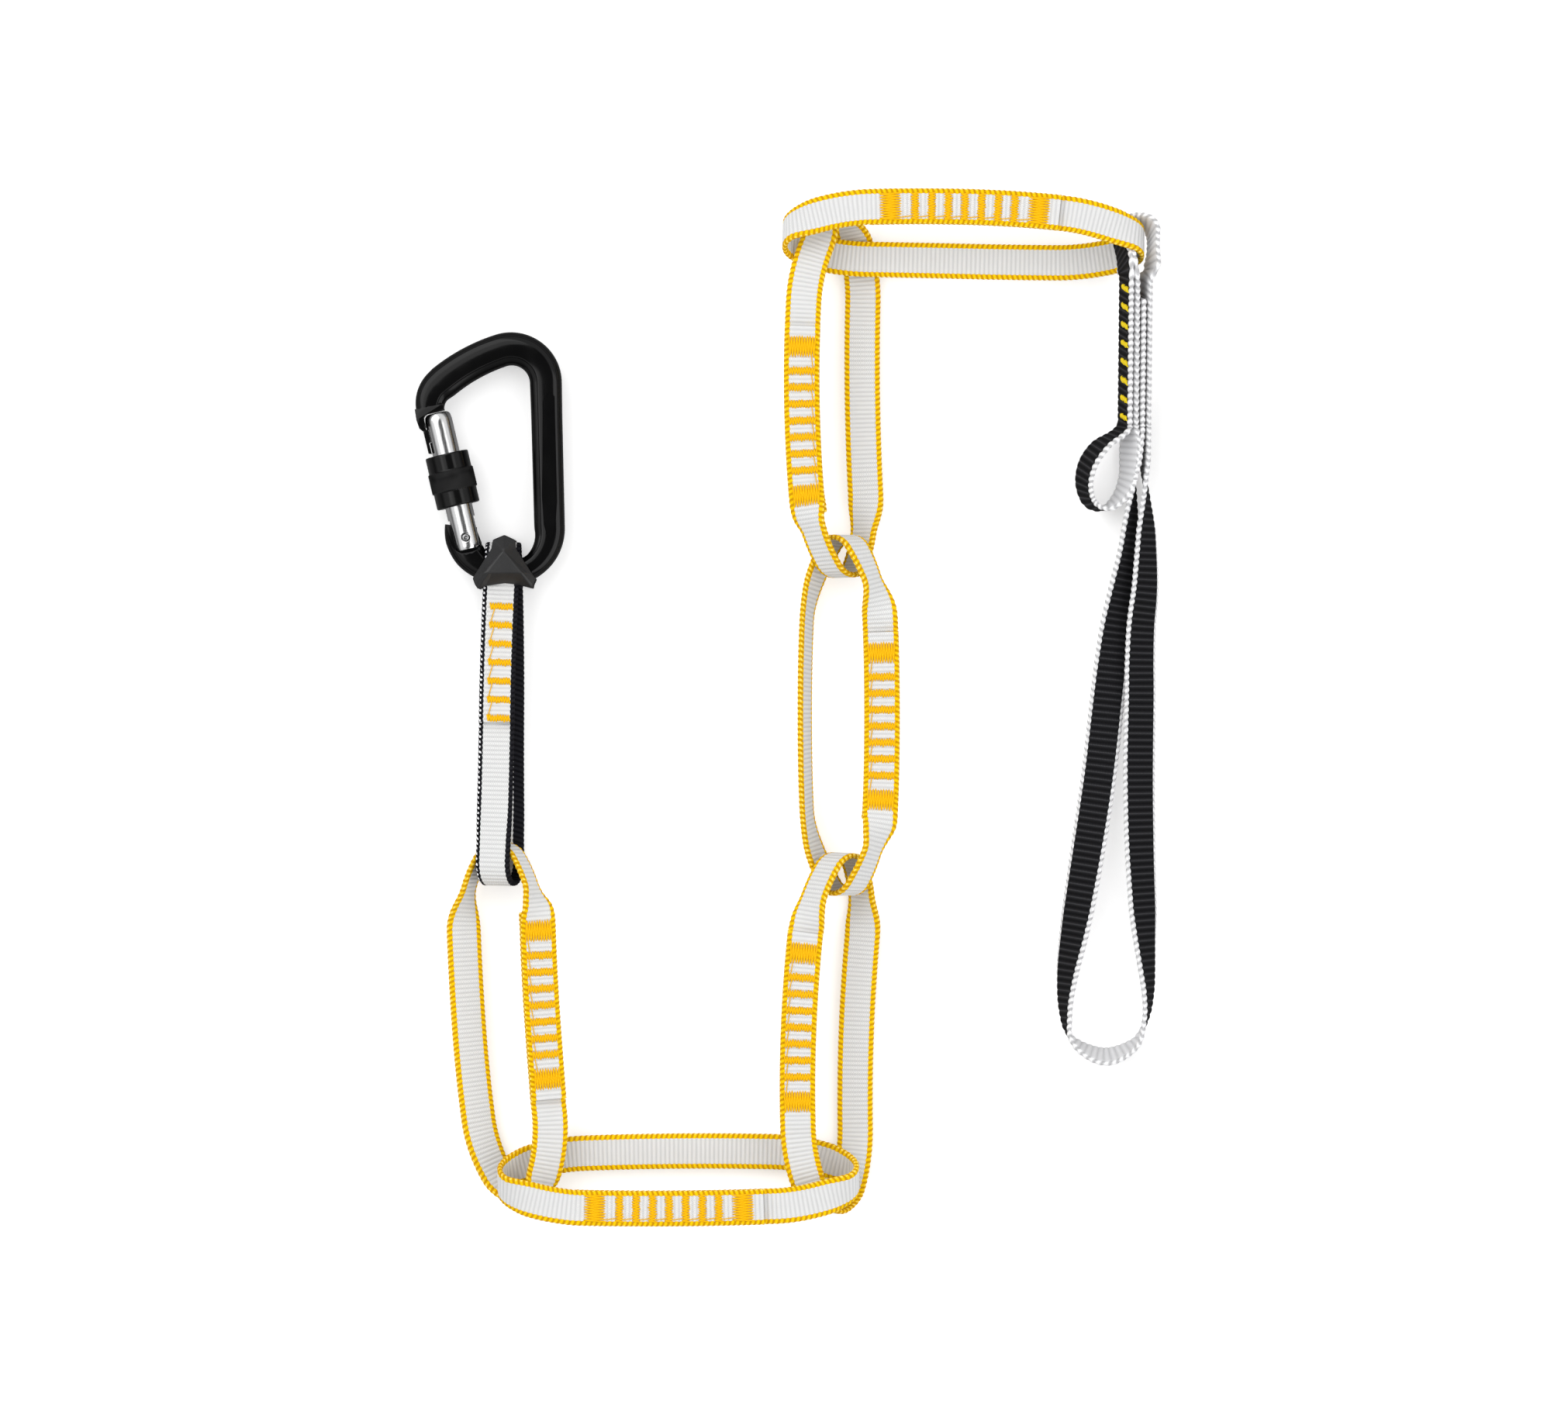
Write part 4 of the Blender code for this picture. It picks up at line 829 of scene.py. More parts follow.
class HarnessRoute:
    def __init__(self, ringEnd):
        h = harness
        self.axis = ringEnd.x + h["stackShift"]
        slope = math.radians(h["topSlope"])
        self.crest = ringEnd.y + tape["width"] / 2 * math.cos(slope) + h["topAbove"]
        start, lean, rise = h["stackStart"], h["stackLean"], h["rise"]
        self.down = down = start + h["stackLength"]
        bottom = h["length"] - tape["thickness"]
        through, over = self.crest - ringEnd.y, start - h["overShort"]
        middle, climb = ringEnd.z + h["topRaise"], math.tan(slope)
        self.rises = [(0.0, middle - through * climb), (over, middle + (over - through) * climb),
                      (down, rise + h["stackRaise"]), (down + h["fallRun"], rise), (bottom, rise)]
        self.leans = [(h["leanFrom"], 0.0), (start, lean), (down, lean), (down + h["leanRun"], 0.0)]
        self.twists = [[(down + (bottom - down) * share, (left, right)[side])
                        for share, left, right in h["longTwists"]] for side in (0, 1)]
        plan = harnessPlan()
        self.points = [self.place(p) for p, _ in plan]
        self.frames = [self.frameOf(plan, k) for k in range(len(plan))]
        self.marks = marksAlong(self.points)
        self.length = self.marks[-1]
        self.at = 0

    def rise(self, y):
        return blendOf(self.rises, y, float)

    def place(self, p):
        lean = math.radians(blendOf(self.leans, p.y))
        rise = self.rise(p.y) - p.x * math.sin(lean)
        return Vector((self.axis + p.x * math.cos(lean), self.crest - p.y, rise))

    def planAxes(self, y):
        lean = math.radians(blendOf(self.leans, y))
        reach = harness["slopeReach"]
        climb = (self.rise(y + reach) - self.rise(y - reach)) / (2 * reach)
        below = Vector((0.0, -1.0, climb)).normalized()
        return Vector((math.cos(lean), 0.0, -math.sin(lean))), below

    def frameOf(self, plan, k):
        p, run = plan[k]
        before, after = max(k - 1, 0), min(k + 1, len(plan) - 1)
        flat = (plan[after][0] - plan[before][0]).normalized()
        ahead = (self.points[after] - self.points[before]).normalized()
        aside, below = self.planAxes(p.y)
        outer = below * flat.x - aside * flat.y
        outer = (outer - ahead * outer.dot(ahead)).normalized()
        across = ahead.cross(outer)
        if across.z < 0:
            across = -across
        h, leg, twist = harness, 0 if flat.y > 0 else 1, 0.0
        if run == "inner":
            twist = h["innerTurn"]
        elif run == "long":
            twist = blendOf(self.twists[leg], p.y, float)
        elif run == "small":
            twist = h["smallTurn"] * flat.y * smoothStep((p.y - self.down) / h["smallTurnRun"])
        elif run == "over":
            twist = h["topTurns"][leg] * flat.y ** 2
            twist *= smoothStep((h["stackStart"] - p.y) / h["topTurnRun"])
        angle = math.radians(twist)
        normal = outer * math.cos(angle) + across * math.sin(angle)
        return self.points[k], ahead.cross(normal), normal

    # Called with growing distances, so the search goes on from the last place
    def frameAt(self, distance):
        while self.at < len(self.marks) - 2 and self.marks[self.at + 1] < distance:
            self.at += 1
        share = (distance - self.marks[self.at]) / (self.marks[self.at + 1] - self.marks[self.at])
        share = min(max(share, 0.0), 1.0)
        first, second = self.frames[self.at], self.frames[self.at + 1]
        point, across, normal = (a.lerp(b, share) for a, b in zip(first, second))
        return point, across.normalized(), normal.normalized()

    # A point of the stack's outer face: u down the seam from its middle
    def face(self, u, v, h):
        out = tape["thickness"] / 2 + h
        p = Vector((-1.5 * harness["stackPitch"] - out, harness["stackSeam"] + u))
        aside, below = self.planAxes(p.y)
        return self.place(p) - below.cross(aside).normalized() * v


harnessRoute = HarnessRoute(routes[6].end)
harnessTape = tapeMaterial("harnessTapeWeave", harnessLook)
piece = tapePiece("harness_sling_webbing", harnessRoute, harnessLook, harnessTape)
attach(piece, "harness_sling")
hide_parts("harness_sling_tape")


# Stitching

stitch = {
    "span": 10.6 * mm,
    "narrow": 3.1 * mm,
    "wide": 8.5 * mm,
    "pitch": 6.65 * mm,
    "wideStep": 9.8 * mm,
    "bars": 7,
    "strand": 0.54 * mm,      # from one strand of a bar to the next
    "radius": 0.36 * mm,
    "running": 0.2 * mm,
    "inset": 1.1 * mm,        # of the running thread from the bars' ends
    "drift": -0.5 * mm,
    "dip": -0.35 * mm,
    "sides": 6,
    # strand and running thread: share of the way, height in mm
    "arch": ((0.1, 0.1), (0.25, 0.24), (0.5, 0.3), (0.75, 0.24), (0.9, 0.1)),
    "runArch": ((-0.2, -0.1), (0.0, 0.3), (0.3, 0.22), (0.7, 0.2), (1.0, 0.3), (1.3, -0.1)),
    # how ragged a bar's sides are: in mm, and the turn from strand to strand and bar to bar
    "ragged": ((0.16, 2.4, 1.7), (0.12, 5.1, 0.0)),
    "twist": 0.7,             # turns of the plies to a mm of thread and to a turn round it
    "plies": 4.0,
    "tones": 900.0,
}


def threadMaterial(name, low, middle, high):
    made, tree, shader = newMaterial(name, {"Roughness": 0.45, "Specular IOR Level": 0.1})
    split = tree.nodes.new("ShaderNodeSeparateXYZ")
    tree.links.new(ownMap(tree), split.inputs[0])
    along, round_ = split.outputs[0], split.outputs[1]
    ply = humps(tree, plus(tree, times(tree, along, stitch["twist"]),
                           times(tree, round_, stitch["plies"])))
    tone = noiseOf(tree, objectPlace(tree), stitch["tones"], 2.0)
    # the plies' crests take the high colour as a painted highlight; between them the colour varies
    # at random from low to middle
    colour = mixed(tree, ply, mixed(tree, tone, low, middle), high)
    tree.links.new(colour, shader["Base Color"])
    tree.links.new(bumped(tree, ply, 0.6, 0.1 * mm), shader["Normal"])
    return made


# A round thread along points of a seam's face, as one tube closed at both ends
def addThread(bm, uvs, path, radius):
    steps, sides, run = len(path) - 1, stitch["sides"], marksAlong(path)

    def placeAt(i, j):
        ahead = (path[min(i + 1, steps)] - path[max(i - 1, 0)]).normalized()
        side = ahead.cross(Vector((0.0, 0.0, 1.0))).normalized()
        out = polar(360.0 * j / sides)
        return path[i] + side * (out.x * radius) + side.cross(ahead) * (out.y * radius)

    addTube(bm, steps, sides, placeAt, uvs, lambda i, j: (run[i] / mm, j / sides))


# Bars of (middle, width) along the seam, each one thread that zigzags across the bar's width so
# that its turns stand out as teeth, with the running thread between them. Built flat, then laid on
# the face it sews. Without a drift there is no running thread.
def stitchPiece(name, face, bars, span, finish, hand=1.0, shift=0.0, drift=stitch["drift"]):
    bm = bmesh.new()
    uvs = bm.loops.layers.uv.new("UVMap")
    count = round(span / stitch["strand"])
    edge = span / 2 - stitch["inset"]
    for number, (middle, width) in enumerate(bars):
        turns = []
        for k in range(count + 1):
            ragged = sum(size * mm * math.sin(strandTurn * k + barTurn * number)
                         for size, strandTurn, barTurn in stitch["ragged"])
            out = width / 2 + ragged
            turns.append(Vector((middle + (-out if k % 2 else out), span * (k / count - 0.5),
                                 stitch["dip"])))
        path = []
        for first, second in zip(turns, turns[1:]):
            path.append(first)
            for share, height in stitch["arch"]:
                between = first.lerp(second, share)
                between.z = height * mm
                path.append(between)
        addThread(bm, uvs, path + turns[-1:], stitch["radius"])
        if drift is not None and number + 1 < len(bars):
            start = middle + width / 2
            end = bars[number + 1][0] - bars[number + 1][1] / 2
            path = [Vector((start + (end - start) * t, edge + (t - 0.5) * drift, h * mm))
                    for t, h in stitch["runArch"]]
            addThread(bm, uvs, path, stitch["running"])
    for vert in bm.verts:
        vert.co = face(vert.co.x, vert.co.y * hand + shift, vert.co.z) + toFrame
    return addPiece(name, bm, finish, smoothAngle=80.0)


def evenBars(count, pitch, width):
    return [((k - (count - 1) / 2) * pitch, width) for k in range(count)]


def ringBars():
    bars = evenBars(stitch["bars"], stitch["pitch"], stitch["narrow"])
    last = bars[-1][0] + stitch["wideStep"]
    return [(-last, stitch["wide"]), *bars, (last, stitch["wide"])]


print("sewing the bars")
# thread colours: two random tones and a painted highlight for the plies' crests
thread = threadMaterial("goldenThread", (0.80, 0.33, 0.0, 1), (0.92, 0.45, 0.0, 1),
                        (1.0, 0.60, 0.004, 1))
lemonThread = threadMaterial("lemonThread", (0.72, 0.44, 0.0, 1), (0.86, 0.58, 0.0, 1),
                             (0.98, 0.78, 0.02, 1))
for number in range(1, 7):
    hand = -1.0 if number in chain["mirroredSeams"] else 1.0
    piece = stitchPiece(f"ring_{number}_thread", sewn[number].face, ringBars(), stitch["span"],
                        thread, hand)
    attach(piece, f"ring_{number}")
    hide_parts(f"ring_{number}_stitching")
bars = evenBars(sling["bars"], sling["pitch"], sling["barWidth"])
piece = stitchPiece("carabiner_sling_thread", sewn["sling"].face, bars, sling["span"], thread,
                    shift=sling["barShift"], drift=sling["runDrift"])
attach(piece, "carabiner_sling")
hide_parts("carabiner_sling_stitching")
bars = evenBars(harness["bars"], harness["pitch"], harness["barWidth"])
piece = stitchPiece("harness_sling_thread", harnessRoute.face, bars, harness["span"], lemonThread,
                    shift=harness["barShift"], drift=None)
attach(piece, "harness_sling")
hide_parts("harness_sling_stitching")


# Metal and rubber finishes

finishes = {
    "anodised": {"tones": (0.7, 1.3), "blue": 0.05, "specular": 0.22, "grain": 1800.0,
                 "roughness": (0.09, 0.16), "relief": (0.05, 0.02 * mm)},
    "alloy": {"tones": (0.94, 1.04), "blue": 0.01, "lines": (2200.0, 25.0, 2200.0),
              "roughness": (0.14, 0.22), "relief": (0.03, 0.01 * mm)},
    "rubber": {"colours": (grey(0.003, 0.0033), grey(0.028, 0.029)), "grain": 3200.0,
               "roughness": (0.4, 0.52), "relief": (0.35, 0.08 * mm)},
}


# A dark and a light tone a little to the blue side
def tonesOf(finish, tone):
    return [grey(tone * share, tone * (share + finish["blue"])) for share in finish["tones"]]


# Gives a finish its colour, its roughness by the slow pattern and its relief by the height
def dressed(tree, shader, finish, colour, slow, height):
    tree.links.new(colour, shader["Base Color"])
    tree.links.new(stepBetween(tree, slow, 0.3, 0.7, *finish["roughness"]), shader["Roughness"])
    tree.links.new(bumped(tree, height, *finish["relief"]), shader["Normal"])


def grainOf(tree, scale):
    node = tree.nodes.new("ShaderNodeGroup")
    node.node_tree = surfaceGrain
    node.inputs["Grain"].default_value = scale
    tree.links.new(objectPlace(tree), node.inputs["Place"])
    return node.outputs["Fine"], node.outputs["Slow"]


def anodisedBlack(name, tone):
    finish = finishes["anodised"]
    made, tree, shader = newMaterial(name, {"Specular IOR Level": finish["specular"]})
    fine, slow = grainOf(tree, finish["grain"])
    dressed(tree, shader, finish, mixed(tree, slow, *tonesOf(finish, tone)), slow, fine)
    return made


# Alloy with fine lines along the piece, which is turned by so many degrees
def polishedAlloy(name, turn, tone):
    finish = finishes["alloy"]
    made, tree, shader = newMaterial(name, {"Metallic": 1.0})
    along = tree.nodes.new("ShaderNodeMapping")
    along.inputs["Rotation"].default_value = (0.0, 0.0, math.radians(-turn))
    along.inputs["Scale"].default_value = finish["lines"]
    tree.links.new(objectPlace(tree), along.inputs["Vector"])
    lines = noiseOf(tree, along.outputs[0], 1.0, 3.0)
    dressed(tree, shader, finish, mixed(tree, lines, *tonesOf(finish, tone)), lines, lines)
    return made


def mouldedRubber(name):
    finish = finishes["rubber"]
    made, tree, shader = newMaterial(name, {})
    fine, slow = grainOf(tree, finish["grain"])
    dressed(tree, shader, finish, mixed(tree, fine, *finish["colours"]), slow, fine)
    return made


place = Matrix.Translation(basket + toFrame)
hinge = place @ Matrix.Translation((*pivot, 0.0))

gate = {
    "lean": 13.2,
    "length": 51.8 * mm,
    "radius": 5.5 * mm,
    "open": 27.0,
    "foot": 6.2 * mm,
    "footEnd": ((5.45, -3.4), (4.9, -4.3), (4.1, -4.7)),     # its corner below the rivet, in mm
    "clearance": 0.4 * mm,
    "tang": 2.1 * mm,
    "slotDepth": 8.0 * mm,
    "rivet": 1.55 * mm,
    "rivetHalf": 5.7 * mm,
    # its end rounds off towards the axis: share of the radius, distance from the end
    "tip": ((1.0, 3.5 * mm), (0.985, 2.7 * mm), (0.94, 1.4 * mm), (0.84, 0.6 * mm),
            (0.68, 0.2 * mm)),
    "slotSpare": 0.35 * mm,
    "edges": 0.25 * mm,
    "rivetSpare": 0.3 * mm,
    # the rivet's hollowed head: share of its radius, how far in from its highest, in mm
    "head": ((0.0, 1.0), (0.22, 0.95), (0.38, 0.5), (0.46, 0.12), (0.58, 0.0), (0.76, 0.1),
             (0.9, 0.35), (1.0, 0.8)),
    "notch": ((-30.0 * mm, 40.4 * mm), (-4.6 * mm, 45.7 * mm)),
    "sides": 96,
    "rows": 40,
}

# The nose's claw beside the gate, its thicker root with the seat over the gate's end, and the
# tang's web, in mm: across and along
nose = {
    "claw": ((-5.8, 40.6), (-5.75, 36.0), (-6.9, 36.4), (-6.95, 45.4), (-8.2, 47.0), (-8.6, 50.6),
             (-8.3, 55.0), (-5.75, 55.0), (-5.75, 46.0), (-4.8, 45.5), (-4.8, 40.7)),
    "root": ((-8.1, 47.0), (-8.55, 50.6), (-8.2, 54.6), (3.3, 54.6), (3.3, 52.05), (-3.8, 52.05),
             (-4.9, 51.6), (-5.5, 50.9), (-5.65, 49.8), (-5.65, 47.0)),
    "clawHalf": 2.6 * mm,
    "rootHalf": 4.4 * mm,
    "webSpare": 0.05 * mm,
    "web": ((-13.6, 2.3), (-12.9, 1.2), (-11.6, -2.2), (-10.4, -5.2), (-11.4, -9.0), (-15.0, -7.0),
            (-17.5, -2.0), (-16.5, 1.6)),
}
gatePlace = hinge @ Matrix.Rotation(math.radians(gate["lean"]), 4, "Z")

blackBody = anodisedBlack("blackAnodised", 0.0025)
darkSleeve = anodisedBlack("darkAnodisedSleeve", 0.003)
gateAlloy = polishedAlloy("polishedGateAlloy", gate["lean"], 0.64)
rivetAlloy = polishedAlloy("rivetAlloy", 0.0, 0.5)
keeperRubber = mouldedRubber("keeperRubber")


# The centre of the wide circle that holds both circles and touches each from inside
def holdingCircle(first, second, wide):
    (one, small), (other, large) = first, second
    gap = other - one
    reach, farther = wide - small, wide - large
    along = (gap.length ** 2 + reach ** 2 - farther ** 2) / (2 * gap.length)
    ahead = gap.normalized()
    aside = Vector((ahead.y, -ahead.x))
    return one + ahead * along + aside * math.sqrt(reach ** 2 - along ** 2), wide


# The bar's centre line: four arcs and the tangents between them, with the outward direction
def barLine():
    c = carabiner
    shoulder = Vector(c["shoulderCentre"]), c["shoulderRadius"]
    top = Vector(c["topCentre"]), c["topRadius"]
    circles = [shoulder, holdingCircle(shoulder, top, c["spanRadius"]), top,
               (Vector((0.0, 0.0)), c["basketRadius"])]
    turns = [c["noseAngle"]]
    for (centre, radius), (other, wider) in zip(circles, circles[1:]):
        gap = other - centre
        share = min(max((radius - wider) / gap.length, -1.0), 1.0)
        turns.append(math.degrees(math.atan2(gap.y, gap.x) + math.acos(share)))
    turns.append(c["tangAngle"])
    found = []
    for (centre, radius), begin, finish in zip(circles, turns, turns[1:]):
        count = math.ceil(max((begin - finish) / c["turnStep"],
                              math.radians(begin - finish) * radius / c["lineStep"]))
        first = centre + polar(begin) * radius
        skipped = 0
        if found:
            last = found[-1][0]
            pieces = math.ceil((first - last).length / c["lineStep"])
            skipped = int((first - last).length < 0.01 * mm)
            found += [(last.lerp(first, k / pieces), polar(begin)) for k in range(1, pieces)]
        for step in range(skipped, count + 1):
            out = polar(begin + (finish - begin) * step / count)
            found.append((centre + out * radius, out))
    return found


def barSize(distance):
    sizes = carabiner["sizes"]
    for before, after in zip(sizes, sizes[1:]):
        if distance <= after[0] * mm:
            share = (distance / mm - before[0]) / (after[0] - before[0])
            return [(b + (a - b) * share) * mm for b, a in zip(before[1:], after[1:])]
    return [value * mm for value in sizes[-1][1:]]


bodyLook = {
    "corners": 96,
    "rimFrom": 0.72,          # share of the outer half width where the rim's step begins
    "rimDrop": 0.5 * mm,
    "innerFrom": -0.5,
    "innerDrop": 0.45 * mm,
    "panel": ((14.3, 51.0), (14.2, 26.0), (14.0, 13.5), (14.8, 2.0), (16.0, -2.4), (17.9, -4.6),
              (19.0, -1.5), (19.5, 2.0), (20.3, 13.5), (20.4, 26.0), (19.9, 47.9), (19.3, 53.2),
              (18.1, 55.1), (16.0, 54.4), (14.8, 53.0)),      # the recess along the spine, in mm
    "panelDepth": 0.35 * mm,
    "stepBlur": 0.07,
    "flank": 0.6,             # share of the half thickness under which the steps fade out
    "edges": 0.3 * mm,
}


def barBody():
    stations, distance, last = [], 0.0, None
    b, corners = bodyLook, bodyLook["corners"]
    for point, out in barLine():
        distance += (point - last).length if last else 0.0
        last = point
        outer, inner, thick = barSize(distance)
        ring = []
        for k in range(corners):
            c, s = polar(360.0 * k / corners)
            power = 2 / carabiner["roundness"]
            share = math.copysign(abs(c) ** power, c)
            high = math.copysign(abs(s) ** power, s) * thick
            drop = b["rimDrop"] * smoothStep((share - b["rimFrom"]) / b["stepBlur"])
            drop += b["innerDrop"] * smoothStep((b["innerFrom"] - share) / b["stepBlur"])
            fade = smoothStep(abs(high) / thick / b["flank"])
            high -= math.copysign(min(drop, abs(high)), s) * fade
            across = share * (outer if c > 0 else inner)
            ring.append(Vector((*(point + out * across), high)))
        stations.append(ring)
    bm = bmesh.new()
    addTube(bm, len(stations) - 1, corners, lambda i, j: stations[i][j % corners])
    return bm


def metres(points):
    return [(x * mm, y * mm) for x, y in points]


def prism(outline, low, high):
    bm = bmesh.new()
    face = bm.faces.new([bm.verts.new((x, y, low)) for x, y in outline])
    grown = bmesh.ops.extrude_face_region(bm, geom=[face])["geom"]
    tops = [g for g in grown if isinstance(g, bmesh.types.BMVert)]
    bmesh.ops.translate(bm, verts=tops, vec=(0.0, 0.0, high - low))
    return bm


def boxOf(low, high):
    (x0, y0, z0), (x1, y1, z1) = low, high
    return prism([(x0, y0), (x1, y0), (x1, y1), (x0, y1)], z0, z1)


# A solid turned about the Y axis from (radius, y) points
def turned(profile, sides, hollow=False):
    bm = bmesh.new()
    verts = [bm.verts.new((radius, y, 0.0)) for radius, y in profile]
    pairs = list(zip(verts, verts[1:])) + ([(verts[-1], verts[0])] if hollow else [])
    edges = [bm.edges.new(pair) for pair in pairs]
    bmesh.ops.spin(bm, geom=verts + edges, cent=(0, 0, 0), axis=(0, 1, 0),
                   angle=2 * math.pi, steps=sides, use_merge=True)
    bmesh.ops.remove_doubles(bm, verts=bm.verts, dist=0.000005)
    return bm


def addCutter(name, bm, where):
    bm.transform(where)
    obj = addPiece(name, bm, None)
    obj.hide_render = True
    return obj


def cutBy(obj, cutters, operation="DIFFERENCE"):
    for cutter in cutters:
        modifier = obj.modifiers.new(cutter.name, "BOOLEAN")
        modifier.object = cutter
        modifier.operation = operation
        modifier.solver = "EXACT"


# Takes on what the modifiers make, then removes the cutters
def settled(obj, cutters, smoothAngle=30.0):
    graph = bpy.context.evaluated_depsgraph_get()
    mesh = bpy.data.meshes.new_from_object(obj.evaluated_get(graph))
    obj.modifiers.clear()
    obj.data = mesh
    mesh.shade_smooth()
    mesh.set_sharp_from_angle(angle=math.radians(smoothAngle))
    for cutter in cutters:
        bpy.data.objects.remove(cutter)


def roundEdges(obj, width):
    bevel = obj.modifiers.new("roundEdges", "BEVEL")
    bevel.width = width
    bevel.segments = 2
    bevel.limit_method = "ANGLE"
    bevel.angle_limit = math.radians(35.0)


print("forging the carabiner")
tall, beyond = 2 * carabiner["halfThickness"], 30 * mm     # past any side of a piece
tang, foot, swing = gate["tang"], gate["foot"] + gate["clearance"], gate["open"]
opened = Matrix.Rotation(math.radians(-swing), 2)
sweep = [polar(180.0 + (180.0 - swing) * k / 24) * foot for k in range(25)]
pocket = [(-foot, beyond), *[tuple(p) for p in sweep], tuple(opened @ Vector((foot, beyond)))]
upright = Matrix.Rotation(math.radians(90.0), 4, "X")
hole = gate["rivet"] + gate["rivetSpare"]

bm = barBody()
bm.transform(place)
body = addPiece("carabiner_forging", bm, blackBody)
grown = [addCutter(name, prism(metres(nose[name]), -half, half), where)
         for name, half, where in (("claw", nose["clawHalf"], gatePlace),
                                   ("root", nose["rootHalf"], gatePlace),
                                   ("web", tang - nose["webSpare"], place))]
above = addCutter("pocketAbove", prism(pocket, tang, tall), gatePlace)
below = addCutter("pocketBelow", prism(pocket, -tall, -tang), gatePlace)
bore = addCutter("rivetBore", turned([(0.0, -tall), (hole, -tall), (hole, tall), (0.0, tall)], 32),
                 hinge @ upright)
cutBy(body, grown, "UNION")
cutBy(body, (above, below, bore))
roundEdges(body, bodyLook["edges"])
panelFloor = carabiner["halfThickness"] - bodyLook["panelDepth"]
panels = [addCutter(name, prism(metres(bodyLook["panel"]), low, high), place)
          for name, low, high in (("panelAbove", panelFloor, tall),
                                  ("panelBelow", -tall, -panelFloor))]
cutBy(body, panels)
settled(body, [*grown, above, below, *panels])
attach(body, "carabiner")
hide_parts("carabiner_body")

r, low, end = gate["radius"], -gate["foot"], gate["length"]
rows = [(r, low + (end - gate["tip"][0][1] - low) * k / gate["rows"]) for k in range(gate["rows"])]
tip = [(share * r, end - back) for share, back in gate["tip"]]
bm = turned([(0.0, low), *rows, *tip, (0.0, end)], gate["sides"])
bm.transform(gatePlace)
gatePiece = addPiece("gate_tube", bm, gateAlloy)
rightFoot = [(-low, end + mm), (-low, -1.5 * mm), *metres(gate["footEnd"])]
footOutline = [(-x, y) for x, y in rightFoot] + rightFoot[::-1]
footCutter = addCutter("footCutter", prism(footOutline, -tall, tall), gatePlace)
slotHalf = tang + gate["slotSpare"]
slot = boxOf((-2 * r, -2 * r, -slotHalf), (2 * r, gate["slotDepth"], slotHalf))
slotCutter = addCutter("slotCutter", slot, gatePlace)
(left, low), (right, high) = gate["notch"]
notchCutter = addCutter("notchCutter", boxOf((left, low, -tall), (right, high, tall)), gatePlace)
cutBy(gatePiece, [footCutter], "INTERSECT")
cutBy(gatePiece, (slotCutter, bore, notchCutter))
roundEdges(gatePiece, gate["edges"])
settled(gatePiece, [footCutter, slotCutter, notchCutter, bore])
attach(gatePiece, "gate")
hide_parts("gate")

top, r = gate["rivetHalf"], gate["rivet"]
profile = [(r * share, sign * (top - inward * mm)) for sign, face in (
    (-1, gate["head"]), (1, gate["head"][::-1])) for share, inward in face]
bm = turned(profile, 48)
bm.transform(hinge @ upright)
rivetPiece = addPiece("hinge_rivet", bm, rivetAlloy)
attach(rivetPiece, "carabiner")
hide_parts("rivet")


# Locking sleeve, with a diamond knurl pressed into its band

sleeve = {
    "start": 13.2 * mm,
    "length": 21.4 * mm,
    "radius": 8.75 * mm,
    "corner": 0.5 * mm,
    "crease": 0.15 * mm,      # rows this close to a corner keep its shading crisp
    "knurlRadius": 9.3 * mm,
    "knurlStart": 6.2 * mm,
    "knurlLength": 8.6 * mm,
    "knurlEdge": 0.45 * mm,
    "knurlDepth": 0.3 * mm,
    "knurls": 54,             # diamonds round the band
    "knurlLean": 1.1,
    "knurlSteep": 1.25,
    "fit": 5.8 * mm,
    "mouth": 7.7 * mm,
    "collar": 6.4 * mm,
    "sides": 324,
    "rows": 48,
}


def sleeveMesh():
    s = sleeve
    low, high = s["start"], s["start"] + s["length"]
    band, top = low + s["knurlStart"], low + s["knurlStart"] + s["knurlLength"]
    rim, ridge, edge = s["radius"], s["knurlRadius"], s["knurlEdge"]
    corner, crease, mouth, step = s["corner"], s["crease"], s["mouth"], low + s["collar"]
    first = [(s["fit"], low), (rim - corner, low), (rim - crease, low + crease),
             (rim, low + corner), (rim, low + corner + crease), (rim, band - crease), (rim, band)]
    rows = [(ridge, band + edge + (top - band - 2 * edge) * k / s["rows"])
            for k in range(s["rows"] + 1)]
    last = [(rim, top), (rim, top + crease), (rim, high - corner - crease), (rim, high - corner),
            (rim - crease, high - crease), (rim - corner, high), (mouth + crease, high),
            (mouth, high - crease), (mouth, step + mm), (s["fit"], step)]
    bm = turned([*first, *rows, *last], s["sides"], hollow=True)
    for vert in bm.verts:
        out = math.hypot(vert.co.x, vert.co.z)
        if out > ridge - 0.1 * mm:
            turn = math.atan2(vert.co.z, vert.co.x) / (2 * math.pi) * s["knurls"]
            along = (vert.co.y - band) / (2 * math.pi * ridge) * s["knurls"] * s["knurlLean"]
            height = min(1 - abs(2 * ((turn + way * along) % 1.0) - 1) for way in (-1, 1))
            height = min(1.0, s["knurlSteep"] * height)
            scale = 1 - s["knurlDepth"] / ridge * (1 - height)
            vert.co.x *= scale
            vert.co.z *= scale
    return bm


bm = sleeveMesh()
bm.transform(gatePlace)
sleevePiece = addPiece("locking_sleeve", bm, darkSleeve, smoothAngle=45.0)
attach(sleevePiece, "sleeve")
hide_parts("sleeve")


# Rubber keeper, faceted on its upper face, flat behind, open for the sling and the bar

